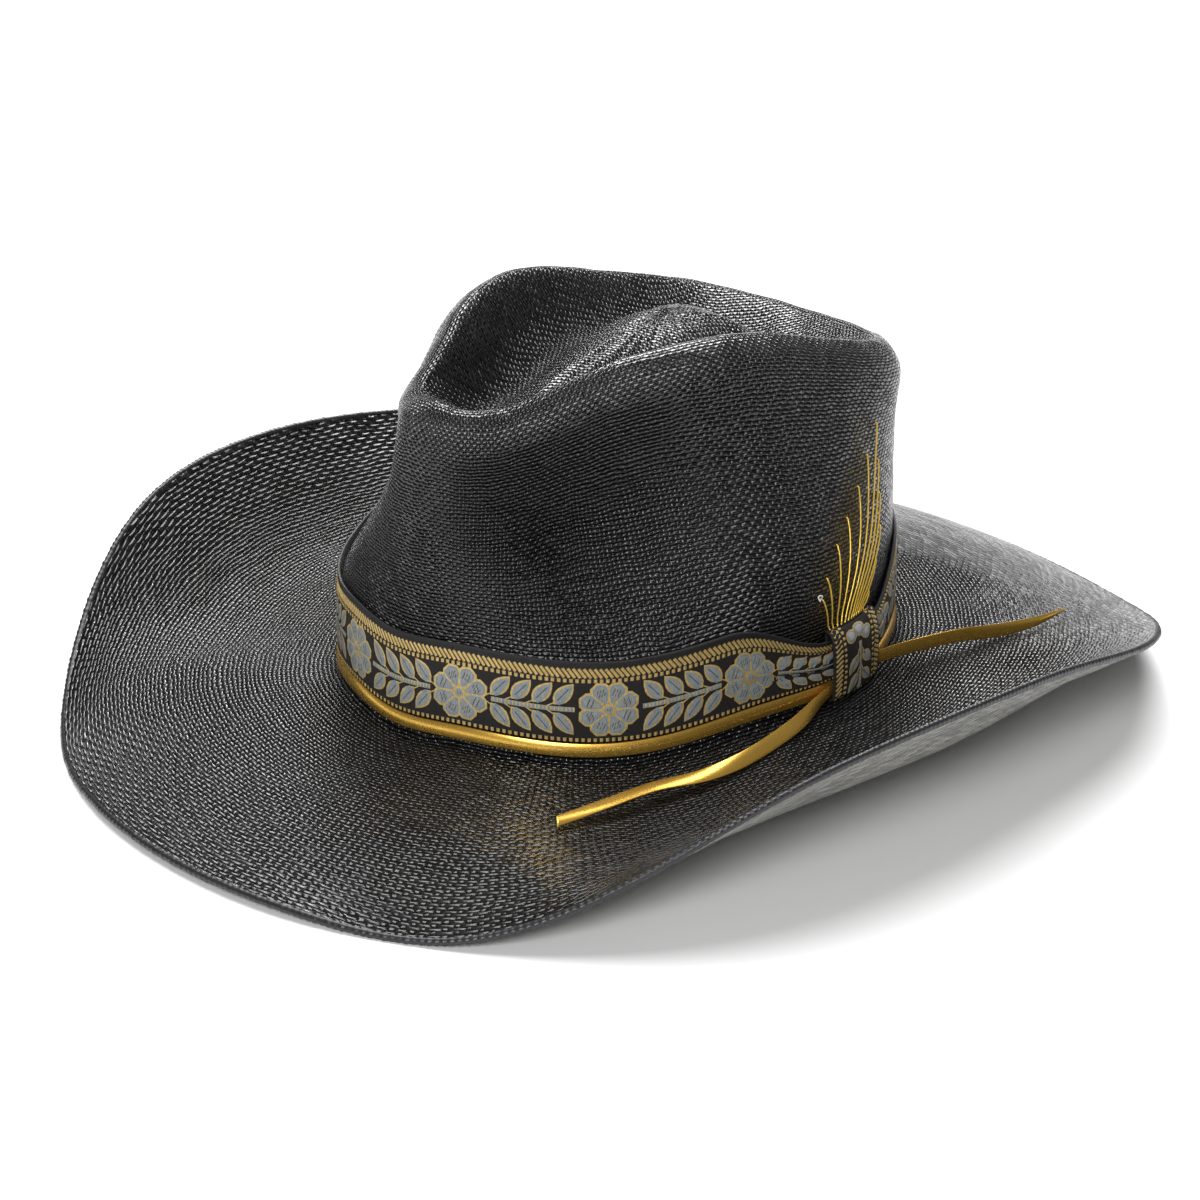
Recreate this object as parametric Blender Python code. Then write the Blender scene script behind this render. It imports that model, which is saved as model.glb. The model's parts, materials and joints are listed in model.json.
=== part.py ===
"""Straw hat with a pinched crown, curled brim, woven hatband and gold strip.

Metres, +Z up. The front of the hat faces -Y and the wearer's left side faces +X. The hat stands on its brim on the plane z = 0.
"""

import math

import bmesh
import bpy
import numpy as np

for old in list(bpy.data.objects):
    bpy.data.objects.remove(old, do_unlink=True)

MM = 0.001

# ---------------------------------------------------------------- hat block (mm)
# Angles run from the wearer's left (0) over the back (90) and the right (180) to the front (270).
HEAD_HALF_WIDTH = 87.0
HEAD_HALF_LENGTH = 103.0
STRAW = 0.9
LEAN_DEG = 0.22

# Stations every 15 degrees on the left half, front to back. The right half is its mirror image.
STATIONS = tuple(range(-90, 91, 15))
RIDGE_X = (0, 10, 19, 27, 36, 45, 50, 51, 52, 51, 42, 22, 0)
RIDGE_Y = (-86, -83.5, -74, -58, -42, -22, 0, 22, 45, 66, 82, 90, 92.5)
RIDGE_Z = (107, 105.5, 106, 111, 117, 120.5, 120, 115.5, 109, 103, 99, 97, 96)
WALL_HOLLOW = (1.0, 1.15, 1.6, 2.2, 2.1, 1.5, 0.95, 0.6, 0.45, 0.45, 0.5, 0.5, 0.5)
VALLEY_Z = (93, 91.5, 90.5, 91, 93.5, 96, 97, 96, 94.5, 92, 89.5, 87.5, 87)
VALLEY_IN = (0.30, 0.30, 0.30, 0.32, 0.36, 0.40, 0.42, 0.42, 0.42, 0.40, 0.36, 0.34, 0.34)
BRIM_WIDTH = (94.5, 95.5, 95.5, 92, 87, 81.5, 78.5, 80.5, 89.5, 93, 94, 92.5, 91.5)
BRIM_RIM_Z = (-14, -14.5, -14.5, 5, 27, 34.5, 33.5, 27.5, 17, 3.5, -10.5, -16.5, -17.5)
BRIM_SWEEP = (0.7, 0.8, 1.2, 1.7, 1.5, 1.5, 1.5, 1.4, 1.1, 0.9, 0.7, 0.6, 0.6)
BREAK_Z = (-2.5, -1, -2, -3.5, -2, 1, 0, -1, 0.5, 0.5, 2, 5.5, 7)
DOME_Y = 24.0
DOME_Z = 111.0
# Finger dents beside the front, and a soft shelf over the band: mm outwards at a quarter, half and three quarters of the wall.
DENT_AT = (-40, -50, -60)
DENT_DEEP = (-2.0, -4.4, -3.6)
DENT_WIDE = 12
SHELF_OUT = (2.4, -0.8, -2.2)
SHELF_AT, SHELF_WIDE = -14, 34
# The right side's dent is shallower and sits under the rim of the crown's front loop.
RIGHT_SHARE = 0.2
RIGHT_PUSH = (1.2, -0.8, -4.0, -4.2)
RIGHT_AT, RIGHT_WIDE = -62, 22

# ---------------------------------------------------------------- trimmings (mm)
HEM = 9.0
WIRE_R = 0.35
HOLE_R = 0.55
BAND_LOW, BAND_HIGH, BAND_THICK, BAND_OFF = 8.0, 35.8, 0.9, 0.45
STRIP_LOW, STRIP_HIGH, STRIP_THICK = 2.9, 7.4, 0.7
KEEPER_FROM, KEEPER_TO = 3.8, 19.2
KEEPER_HIGH, KEEPER_THICK = 25.6, 0.7
SWEAT_HIGH, SWEAT_THICK, REED_R = 33.0, 1.0, 0.9
THREAD_R = 0.28

SEGMENTS = 72

parts = bpy.data.collections.new("straw_hat")
bpy.context.scene.collection.children.link(parts)


# ---------------------------------------------------------------- curves and surfaces
def round_curve(table, angle, anti=False):
    """Smooth closed curve through the stations, mirrored left to right; anti for a value that changes sign across the mirror."""
    at = np.array(list(STATIONS) + [180 - s for s in STATIONS[1:-1][::-1]], float)
    value = np.array(
        list(table) + [(-v if anti else v) for v in table[1:-1][::-1]], float
    )
    count = len(at)
    step = np.diff(np.append(at, at[0] + 360))
    matrix = np.zeros((count, count))
    right = np.zeros(count)
    for i in range(count):
        p, q = (i - 1) % count, (i + 1) % count
        matrix[i, p] += step[p]
        matrix[i, i] += 2 * (step[p] + step[i])
        matrix[i, q] += step[i]
        right[i] = 6 * ((value[q] - value[i]) / step[i] - (value[i] - value[p]) / step[p])
    bend = np.linalg.solve(matrix, right)
    deg = (np.degrees(angle) + 90) % 360 - 90
    i = np.clip(np.searchsorted(at, deg, side="right") - 1, 0, count - 1)
    q = (i + 1) % count
    h, u = step[i], deg - at[i]
    return (
        bend[i] * (h - u) ** 3 / (6 * h)
        + bend[q] * u**3 / (6 * h)
        + (value[i] / h - bend[i] * h / 6) * (h - u)
        + (value[q] / h - bend[q] * h / 6) * u
    )


def base_and_normal(angle):
    c, s = np.cos(angle), np.sin(angle)
    base = np.stack([HEAD_HALF_WIDTH * c, HEAD_HALF_LENGTH * s], -1)
    normal = np.stack([c / HEAD_HALF_WIDTH, s / HEAD_HALF_LENGTH], -1)
    return base, normal / np.linalg.norm(normal, axis=-1)[..., None]


def block_rows(angle):
    """Rows of points on the hat's outer face, from the brim's rim up the crown and over to the middle of its dome."""
    base, normal = base_and_normal(angle)
    ridge = np.stack(
        [round_curve(RIDGE_X, angle, True), round_curve(RIDGE_Y, angle)], -1
    )
    ridge_z = round_curve(RIDGE_Z, angle)
    break_z = round_curve(BREAK_Z, angle)
    rim_z = round_curve(BRIM_RIM_Z, angle)
    width = round_curve(BRIM_WIDTH, angle)
    sweep = round_curve(BRIM_SWEEP, angle)
    hollow = round_curve(WALL_HOLLOW, angle)
    rows = []

    def add(xy, z):
        rows.append(np.concatenate([xy, z[..., None]], -1))

    for s in (1, 0.82, 0.64, 0.46, 0.28, 0.12):
        rise = (1 - sweep) * s + sweep * s**3
        add(base + normal * (width * s)[..., None], break_z + (rim_z - break_z) * rise)
    add(base + normal * 4.2, break_z + (rim_z - break_z) * (1 - sweep) * 0.04 + 0.25)
    add(base + normal * 0.9, break_z + 1.3)
    add(base, break_z + 5.0)
    add(base - normal * 0.2, break_z + 18)
    add(base - normal * 0.8, break_z + 33)
    out = base - ridge
    reach = np.linalg.norm(out, axis=-1)[..., None]
    out = out / reach
    shoulder = ridge + out * np.minimum(reach, 8.5)
    deg = (np.degrees(angle) + 90) % 360 - 90
    side = np.where(deg > 90, 180 - deg, deg)
    on_right = np.clip((side + 90) / 18, 0, 1) * (deg > 90)
    on_right = on_right * on_right * (3 - 2 * on_right)
    far = on_right * np.exp(-(((side - RIGHT_AT) / RIGHT_WIDE) ** 2))
    for i, h in enumerate((0.25, 0.5, 0.75)):
        f = (hollow * h + (1 - hollow) * h * h)[..., None]
        low = base - normal * 0.8
        push = DENT_DEEP[i] * np.exp(-(((side - DENT_AT[i]) / DENT_WIDE) ** 2)) * (1 - (1 - RIGHT_SHARE) * on_right)
        push = push + RIGHT_PUSH[i] * far
        push = push + SHELF_OUT[i] * np.exp(-(((side - SHELF_AT) / SHELF_WIDE) ** 2))
        add(
            low + (shoulder - low) * f + normal * push[..., None],
            break_z + 33 + (ridge_z - 10 - break_z - 33) * h,
        )
    add(shoulder + normal * (RIGHT_PUSH[3] * far)[..., None], ridge_z - 10)
    add(ridge + out * np.minimum(reach, 4.6), ridge_z - 3.3)
    add(ridge, ridge_z - 0.2)
    dome = np.array([0, DOME_Y])
    inward = dome - ridge
    add(ridge + 4 * inward / np.linalg.norm(inward, axis=-1)[..., None], ridge_z - 1.2)
    valley_z = round_curve(VALLEY_Z, angle)
    valley = ridge + inward * round_curve(VALLEY_IN, angle)[..., None]
    add(ridge + (valley - ridge) * 0.5, ridge_z + (valley_z - ridge_z) * 0.62)
    add(valley, valley_z)
    add(valley + (dome - valley) * 0.35, valley_z + (DOME_Z - valley_z) * 0.5)
    add(valley + (dome - valley) * 0.7, valley_z + (DOME_Z - valley_z) * 0.9)
    add(dome + 0 * valley, DOME_Z + 0 * valley_z)
    return np.array(rows)


def row_knots():
    rows = block_rows(np.linspace(0, 2 * np.pi, 73)[:-1])
    gaps = np.linalg.norm(np.diff(rows, axis=0), axis=-1).mean(1)
    return np.concatenate([[0], np.cumsum(np.sqrt(gaps) * 3)])


KNOTS = row_knots()
ROWS = len(KNOTS)


def block_surface(angle, v):
    """Cubic surface through the rows: angle (n,), v (m,) in knot units, gives (m, n, 3) mm."""
    rows = block_rows(angle)
    h = np.diff(KNOTS)
    matrix = np.zeros((ROWS, ROWS))
    right = np.zeros_like(rows)
    matrix[0, 0] = 1
    for i in range(1, ROWS - 1):
        matrix[i, i - 1], matrix[i, i], matrix[i, i + 1] = h[i - 1], 2 * (h[i - 1] + h[i]), h[i]
        right[i] = 6 * ((rows[i + 1] - rows[i]) / h[i] - (rows[i] - rows[i - 1]) / h[i - 1])
    matrix[-1, -1], matrix[-1, -2] = 2 * h[-1], h[-1]
    slope = np.zeros_like(rows[0])
    slope[..., :2] = ((rows[-1] - rows[-2]) / h[-1])[..., :2]
    right[-1] = 6 * (slope - (rows[-1] - rows[-2]) / h[-1])
    bend = np.linalg.solve(matrix, right.reshape(ROWS, -1)).reshape(rows.shape)
    v = np.asarray(v, float)
    i = np.clip(np.searchsorted(KNOTS, v, side="right") - 1, 0, ROWS - 2)
    w, u = h[i][:, None, None], (v - KNOTS[i])[:, None, None]
    return (
        bend[i] * (w - u) ** 3 / (6 * w)
        + bend[i + 1] * u**3 / (6 * w)
        + (rows[i] / w - bend[i] * w / 6) * (w - u)
        + (rows[i + 1] / w - bend[i + 1] * w / 6) * u
    )


def surface_normals(angle, v):
    e = 1e-3
    along = block_surface(angle + e, v) - block_surface(angle - e, v)
    v = np.asarray(v, float)
    lower, upper = np.maximum(v - 0.05, 0), np.minimum(v + 0.05, KNOTS[-1])
    across = block_surface(angle, upper) - block_surface(angle, lower)
    normal = np.cross(along, across)
    return normal / np.maximum(np.linalg.norm(normal, axis=-1), 1e-12)[..., None]


def crown_point(angle_deg, height, off):
    """Point on the crown's side at this height above the brim's break, lifted off it by off."""
    angle = np.array([math.radians(angle_deg)])
    v = np.linspace(KNOTS[7], KNOTS[16], 400)
    points = block_surface(angle, v)[:, 0]
    level = points[:, 2] - round_curve(BREAK_Z, angle)[0]
    i = int(np.argmax(level > height))
    normal = surface_normals(angle, v[i : i + 1])[0, 0]
    return points[i] + normal * off


def wall_point(angle, off, height):
    """Point off the upright band zone of the crown, height measured from the brim's break."""
    base, normal = base_and_normal(angle)
    lean = -0.2 - 0.6 * np.clip((height - 18) / 15, 0, 1.2)
    return np.concatenate(
        [
            base + normal * (off + lean)[..., None],
            (round_curve(BREAK_Z, angle) + height)[..., None],
        ],
        -1,
    )


# ---------------------------------------------------------------- standing pose
lean = math.radians(LEAN_DEG)
TURN = np.array(
    [
        [1, 0, 0],
        [0, math.cos(lean), -math.sin(lean)],
        [0, math.sin(lean), math.cos(lean)],
    ]
)
shift = np.zeros(3)


def stand(points):
    return (np.asarray(points, float) @ TURN.T + shift) * MM


# ---------------------------------------------------------------- building
def material(name, colour, roughness, metallic=0.0):
    made = bpy.data.materials.new(name)
    made.use_nodes = True
    shader = made.node_tree.nodes["Principled BSDF"]
    shader.inputs["Base Color"].default_value = (*colour, 1)
    shader.inputs["Roughness"].default_value = roughness
    shader.inputs["Metallic"].default_value = metallic
    return made


def add_object(name, points, faces, made):
    """Object with its origin at the middle of its box, from points in mm in the hat's own frame."""
    world = stand(points)
    centre = (world.min(0) + world.max(0)) / 2
    mesh = bpy.data.meshes.new(name)
    mesh.from_pydata([tuple(p) for p in world - centre], [], faces)
    bm = bmesh.new()
    bm.from_mesh(mesh)
    bmesh.ops.recalc_face_normals(bm, faces=bm.faces)
    bm.to_mesh(mesh)
    bm.free()
    mesh.materials.append(made)
    obj = bpy.data.objects.new(name, mesh)
    obj.location = centre
    parts.objects.link(obj)
    return obj


def tube_grid(sections, closed_path):
    """Quads joining closed sections (rows of the same count of points), with caps when the path is open."""
    sections = np.asarray(sections)
    rows, count = sections.shape[:2]
    faces = []
    for i in range(rows if closed_path else rows - 1):
        j = (i + 1) % rows
        for k in range(count):
            m = (k + 1) % count
            faces.append((i * count + k, i * count + m, j * count + m, j * count + k))
    if not closed_path:
        faces.append(tuple(range(count)))
        faces.append(tuple(range((rows - 1) * count, rows * count))[::-1])
    return sections.reshape(-1, 3), faces


def round_tube(path, radius, sides, closed_path=False):
    """Round tube along a path, with sections square to it."""
    path = np.asarray(path, float)
    sections = []
    count = len(path)
    for i, point in enumerate(path):
        if closed_path:
            ahead = path[(i + 1) % count] - path[i - 1]
        else:
            ahead = path[min(i + 1, count - 1)] - path[max(i - 1, 0)]
        ahead = ahead / np.linalg.norm(ahead)
        up = np.array([0, 0, 1.0]) if abs(ahead[2]) < 0.9 else np.array([1.0, 0, 0])
        side = np.cross(ahead, up)
        side /= np.linalg.norm(side)
        up = np.cross(side, ahead)
        turn = np.arange(sides) * 2 * np.pi / sides
        sections.append(point + radius * (np.outer(np.cos(turn), side) + np.outer(np.sin(turn), up)))
    return tube_grid(sections, closed_path)


# ---------------------------------------------------------------- straw body: crown and brim woven in one, rim folded under for the hem
angles = np.arange(SEGMENTS) * 2 * np.pi / SEGMENTS
# The same surface as the rows, at the rim turned under: local axes at the rim, out along the brim and up from it.
rim = block_surface(angles, [0.0])[0]
inner = block_surface(angles, [1.2])[0]
rim_up = surface_normals(angles, [0.6])[0]
rim_out = rim - inner
rim_out -= (rim_out * rim_up).sum(-1)[:, None] * rim_up
rim_out /= np.linalg.norm(rim_out, axis=-1)[:, None]


def rim_point(s, n):
    """Ring of points at s mm outwards from the rim's end and n mm above the brim's top face, following its curve."""
    if s < -6:
        # far enough in for the brim's own curve to matter
        v = RIM_V[s]
        return block_surface(angles, [v])[0] + surface_normals(angles, [v])[0] * n
    return rim + rim_out * s + rim_up * n


def v_at_distance(distance):
    v = np.linspace(0, KNOTS[3], 400)
    line = block_surface(np.array([0.0]), v)[:, 0]
    gone = np.concatenate([[0], np.cumsum(np.linalg.norm(np.diff(line, axis=0), axis=-1))])
    return float(np.interp(distance, gone, v))


RIM_V = {-HEM: v_at_distance(HEM)}
bead = STRAW + HOLE_R
gap = 0.35
rings = []
# top face, from the middle of the dome out to the rim
top_v = [KNOTS[-1]]
top_v += [
    KNOTS[k] + (KNOTS[k + 1] - KNOTS[k]) * part
    for k in range(ROWS - 2, 1, -1)
    for part in ((0.5, 0.0) if k in (19, 18) else (0.0,))
]
top_v = [v for v in top_v if v > RIM_V[-HEM] + 4] + [RIM_V[-HEM]]
for v in top_v[1:]:
    rings.append(block_surface(angles, [v])[0])
for turn in (90, 45, 0, -45, -90):
    a = math.radians(turn)
    rings.append(rim_point(-bead + bead * math.cos(a), -bead + bead * math.sin(a)))
rings.append(rim_point(-bead - 2.2, -2 * STRAW - gap - 0.25))
rings.append(rim_point(-HEM, -2 * STRAW - gap))
rings.append(rim_point(-HEM, -STRAW - gap))
for turn in (147, 200, 250, 300, 0, 50, 90):
    a = math.radians(turn)
    rings.append(rim_point(-bead + HOLE_R * math.cos(a), -bead + HOLE_R * math.sin(a)))
for v in top_v[:0:-1]:
    rings.append(block_surface(angles, [v])[0] - surface_normals(angles, [v])[0] * STRAW)
rings = np.array(rings)

centre_top = block_surface(angles[:1], [KNOTS[-1]])[0, 0]
count = len(rings)
body_points = np.concatenate(
    [rings.reshape(-1, 3), [centre_top], [centre_top - np.array([0, 0, STRAW])]]
)
body_faces = []
for i in range(count - 1):
    for k in range(SEGMENTS):
        m = (k + 1) % SEGMENTS
        body_faces.append(
            (i * SEGMENTS + k, i * SEGMENTS + m, (i + 1) * SEGMENTS + m, (i + 1) * SEGMENTS + k)
        )
for k in range(SEGMENTS):
    m = (k + 1) % SEGMENTS
    body_faces.append((count * SEGMENTS, m, k))
    body_faces.append((count * SEGMENTS + 1, (count - 1) * SEGMENTS + k, (count - 1) * SEGMENTS + m))

# stand the hat on its brim: lean it, centre its box and put the lowest points on z = 0
leant = body_points @ TURN.T
FLOOR = leant[:, 2].min() + 0.6
shift[:] = [
    -(leant[:, 0].min() + leant[:, 0].max()) / 2,
    -(leant[:, 1].min() + leant[:, 1].max()) / 2,
    -FLOOR,
]
# the brim's own weight presses its lowest points flat where it stands
pressed = leant.copy()
pressed[:, 2] = np.maximum(pressed[:, 2], FLOOR)
body_points = pressed @ TURN

straw = material("straw", (0.012, 0.012, 0.014), 0.45)
add_object("straw_body", body_points, body_faces, straw)

# ---------------------------------------------------------------- brim wire inside the hem
wire_path = rim_point(-bead, -bead)
points, faces = round_tube(wire_path, WIRE_R, 5, True)
add_object("brim_wire", points, faces, material("spring_wire", (0.35, 0.35, 0.36), 0.4, 1.0))


# ---------------------------------------------------------------- bands that follow the crown
def band(from_deg, to_deg, steps, section, closed_path=False):
    """Loft of a section, a list of (off, height), round the crown; off and height may be functions of the angle in degrees."""
    turn = np.radians(np.linspace(from_deg, to_deg, steps + (0 if closed_path else 1), endpoint=not closed_path))
    ring = []
    for off, height in section:
        offs = np.array([off(math.degrees(a)) if callable(off) else off for a in turn], float)
        highs = np.array([height(math.degrees(a)) if callable(height) else height for a in turn], float)
        ring.append(wall_point(turn, offs, highs))
    return tube_grid(np.array(ring).transpose(1, 0, 2), closed_path)


def away_from_keeper(deg):
    """0 in the keeper, growing to 1 away from it: the ribbon gathers into the keeper."""
    middle = (KEEPER_FROM + KEEPER_TO) / 2
    half = (KEEPER_TO - KEEPER_FROM) / 2
    gone = abs((deg - middle + 180) % 360 - 180) - half
    t = min(max(gone / 24, 0), 1)
    return t * t * (3 - 2 * t)


def near_keeper(deg):
    return 1 - away_from_keeper(deg)


def band_low(deg):
    return BAND_LOW + 0.8 * near_keeper(deg)


def band_high(deg):
    return 23.0 + (BAND_HIGH - 23.0) * away_from_keeper(deg)


def band_in(deg):
    return BAND_OFF + 1.2 * near_keeper(deg) ** 2


# the ribbon's two ends meet inside the keeper
middle = (KEEPER_FROM + KEEPER_TO) / 2
points, faces = band(
    middle + 0.3,
    middle + 359.7,
    72,
    [
        (lambda d: band_in(d) + 0.15, band_low),
        (lambda d: band_in(d) + BAND_THICK + 0.15, band_low),
        (lambda d: band_in(d) + BAND_THICK + 0.15, lambda d: (BAND_LOW + band_high(d)) / 2),
        (lambda d: band_in(d) + BAND_THICK, band_high),
        (band_in, band_high),
        (lambda d: band_in(d) + 0.15, lambda d: (BAND_LOW + band_high(d)) / 2),
    ],
)
add_object("hatband", points, faces, material("jacquard", (0.05, 0.045, 0.04), 0.7))

# gold strip, one turn round the foot of the crown; its ends meet inside the keeper
points, faces = band(
    middle - 359.6,
    middle - 0.4,
    72,
    [
        (lambda d: 1.55 + 0.7 * near_keeper(d), lambda d: STRIP_LOW + 0.7 * near_keeper(d)),
        (lambda d: 1.55 + STRIP_THICK + 0.7 * near_keeper(d), lambda d: STRIP_LOW + 0.7 * near_keeper(d)),
        (lambda d: 0.65 + STRIP_THICK + 1.0 * near_keeper(d), lambda d: STRIP_HIGH + 0.7 * near_keeper(d)),
        (lambda d: 0.65 + 1.0 * near_keeper(d), lambda d: STRIP_HIGH + 0.7 * near_keeper(d)),
    ],
)
gold = material("gold_strip", (0.78, 0.56, 0.2), 0.28, 1.0)
add_object("gold_strip_ring", points, faces, gold)


# keeper: a loop of ribbon round the hatband and the strip, swelling over them
KEEPER_OUTLINE = (
    (0.6, 4.2),
    (1.2, 2.3),
    (2.4, 1.35),
    (3.8, 1.35),
    (4.9, 2.6),
    (5.2, 7.5),
    (5.2, 13.0),
    (4.9, 19.0),
    (4.1, 23.5),
    (2.7, KEEPER_HIGH),
    (1.3, KEEPER_HIGH - 0.2),
    (0.6, KEEPER_HIGH - 1.6),
)
steps = 8
turn = np.radians(np.linspace(KEEPER_FROM, KEEPER_TO, steps + 1))
outline = np.array(KEEPER_OUTLINE)
loop_out, loop_in = [], []
for i, a in enumerate(turn):
    swell = math.sin(math.pi * i / steps) ** 0.7
    out = outline.copy()
    out[:, 0] += 0.12 * swell * np.clip(out[:, 0] - 3.2, 0, None)
    # inner face: the same outline moved in by the ribbon's thickness
    ahead = np.roll(out, -1, 0) - np.roll(out, 1, 0)
    ahead /= np.linalg.norm(ahead, axis=1)[:, None]
    left = np.stack([-ahead[:, 1], ahead[:, 0]], -1)
    inside = out + left * KEEPER_THICK
    ring_a = np.full(len(out), a)
    loop_out.append(wall_point(ring_a, out[:, 0], out[:, 1]))
    loop_in.append(wall_point(ring_a, inside[:, 0], inside[:, 1]))
loop_out, loop_in = np.array(loop_out), np.array(loop_in)
n = loop_out.shape[1]
rows = steps + 1
points = np.concatenate([loop_out.reshape(-1, 3), loop_in.reshape(-1, 3)])
half = rows * n
faces = []
for i in range(rows - 1):
    for k in range(n):
        m = (k + 1) % n
        faces.append((i * n + k, i * n + m, (i + 1) * n + m, (i + 1) * n + k))
        faces.append((half + i * n + k, half + (i + 1) * n + k, half + (i + 1) * n + m, half + i * n + m))
for k in range(n):
    m = (k + 1) % n
    faces.append((k, half + k, half + m, m))
    e = (rows - 1) * n
    faces.append((e + k, e + m, half + e + m, half + e + k))
add_object("keeper", points, faces, material("jacquard_keeper", (0.06, 0.055, 0.05), 0.7))


# ---------------------------------------------------------------- gold tails
def smooth_path(stations, steps):
    """Catmull-Rom through rows of numbers, evenly by station."""
    rows = np.array(stations, float)
    ends = np.concatenate([[2 * rows[0] - rows[1]], rows, [2 * rows[-1] - rows[-2]]])
    out = []
    for i in range(len(rows) - 1):
        p0, p1, p2, p3 = ends[i : i + 4]
        for k in range(steps):
            t = k / steps
            out.append(
                0.5
                * (
                    2 * p1
                    + (p2 - p0) * t
                    + (2 * p0 - 5 * p1 + 4 * p2 - p3) * t * t
                    + (3 * p1 - p0 - 3 * p2 + p3) * t**3
                )
            )
    out.append(rows[-1])
    return np.array(out)


def tail(name, stations):
    """Flat strip along stations of (x, y, z, tilt of its width from upright in degrees, width)."""
    path = smooth_path(stations, 3)
    sections = []
    for i, row in enumerate(path):
        ahead = path[min(i + 1, len(path) - 1), :3] - path[max(i - 1, 0), :3]
        ahead /= np.linalg.norm(ahead)
        side = np.cross(ahead, [0, 0, 1.0])
        side /= np.linalg.norm(side)
        up = np.cross(side, ahead)
        tilt = math.radians(row[3])
        across = up * math.cos(tilt) + side * math.sin(tilt)
        thin = np.cross(across, ahead)
        w, t = row[4] / 2, 0.25
        sections.append([row[:3] + across * a * w + thin * b * t for a, b in ((-1, -1), (1, -1), (1, 1), (-1, 1))])
    points, faces = tube_grid(sections, False)
    return add_object(name, points, faces, gold)


FRONT_TAIL = (
    (90.1, 8.6, 5.4, 0, 4.4),
    (91.4, 0.9, 4.4, 8, 4.5),
    (95.4, -16.4, 2.2, 40, 5.0),
    (97.2, -40.4, 0.3, 46, 5.0),
    (94.6, -58.0, -1.0, 66, 5.0),
    (88.9, -75.2, -0.9, 82, 4.8),
    (86.9, -96.4, -0.3, 80, 4.6),
    (85.0, -115.4, 0.1, 62, 3.6),
)
REAR_TAIL = (
    (86.0, 31.6, 5.8, 0, 4.4),
    (85.0, 39.5, 5.4, 0, 4.8),
    (87.2, 54.0, 5.0, 2, 5.0),
    (93.0, 71.3, 5.2, 2, 5.0),
    (98.4, 86.8, 4.0, -6, 4.8),
    (102.6, 101.4, 3.9, -14, 3.4),
    (102.6, 118.8, 3.2, -16, 0.8),
)
tail("gold_tail_front", FRONT_TAIL)
tail("gold_tail_rear", REAR_TAIL)

# ---------------------------------------------------------------- gold threads fanned above the keeper
# (foot angle, head angle, head height above the brim's break)
THREADS = (
    (4.6, 3.6, 36.5),
    (5.7, 5.6, 42.5),
    (7.0, 10.2, 51.5),
    (8.2, 15.4, 57.5),
    (9.4, 22.0, 64.0),
    (10.5, 28.4, 70.5),
    (11.5, 35.2, 78.0),
    (12.4, 32.8, 66.5),
    (13.3, 30.4, 56.5),
    (14.2, 28.0, 47.0),
    (15.2, 24.2, 38.5),
    (16.3, 20.0, 30.5),
)
thread_gold = material("gold_thread", (0.72, 0.52, 0.12), 0.35, 0.9)
for number, (foot, head, height) in enumerate(THREADS, 1):
    steps = 6
    path = []
    for k in range(steps + 1):
        t = k / steps
        lift = 0.75 + 0.5 * math.sin(math.pi * t)
        if k == 0:
            lift = 1.5
        if k == steps:
            lift = 0.42
        path.append(
            crown_point(foot + (head - foot) * t, KEEPER_HIGH + 0.5 + (height - KEEPER_HIGH - 0.5) * t, lift)
        )
    points, faces = round_tube(path, THREAD_R, 5)
    add_object(f"gold_thread_{number:02d}", points, faces, thread_gold)

knot_at = crown_point(2.6, 37.5, 0.9)
ring_path = [
    knot_at
    + np.array([0.0, 0.75 * math.cos(a), 1.0 * math.sin(a)])
    for a in np.arange(10) * 2 * np.pi / 10
]
points, faces = round_tube(ring_path, 0.25, 5, True)
add_object("thread_knot", points, faces, material("thread_knot", (0.7, 0.68, 0.62), 0.6))

# ---------------------------------------------------------------- inside: sweatband, its reed and the bow on its seam
inside = -(STRAW + 0.45)
points, faces = band(
    90.25,
    449.75,
    72,
    [
        (inside, 2.2),
        (inside, 18.0),
        (inside - 0.1, SWEAT_HIGH),
        (inside - SWEAT_THICK - 0.1, SWEAT_HIGH),
        (inside - SWEAT_THICK, 18.0),
        (inside - SWEAT_THICK, 2.2),
    ],
)
add_object("sweatband", points, faces, material("sweatband", (0.06, 0.05, 0.045), 0.6))

turn = np.radians(np.arange(SEGMENTS) * 360 / SEGMENTS)
reed_path = wall_point(turn, np.full(SEGMENTS, inside - 0.5), np.full(SEGMENTS, 0.9))
points, faces = round_tube(reed_path, REED_R, 6, True)
add_object("sweatband_reed", points, faces, material("reed_tape", (0.03, 0.03, 0.03), 0.7))

# flat bow: knot in the middle, a loop each side, one closed outline
bow = []
for x, high in ((-11, 1.6), (-9, 3.4), (-5, 3.0), (-1.6, 1.5), (1.6, 1.5), (5, 3.0), (9, 3.4), (11, 1.6)):
    bow.append((x, high))
back = wall_point(np.array([math.pi / 2]), np.array([inside - SWEAT_THICK]), np.array([10.0]))[0]
sections = []
for x, high in bow:
    depth = 0.35 + 1.1 * (high / 3.4) if abs(x) > 2 else 1.6
    drop = (HEAD_HALF_LENGTH - 3) * (1 - math.sqrt(1 - (x / (HEAD_HALF_WIDTH - 3)) ** 2))
    y = back[1] - 0.35 - drop
    sections.append(
        [
            (x, y, back[2] - high),
            (x, y, back[2] + high),
            (x, y - depth, back[2] + high * 0.7),
            (x, y - depth, back[2] - high * 0.7),
        ]
    )
points, faces = tube_grid(sections, False)
add_object("sweatband_bow", points, faces, material("bow_ribbon", (0.02, 0.02, 0.022), 0.5))
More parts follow.
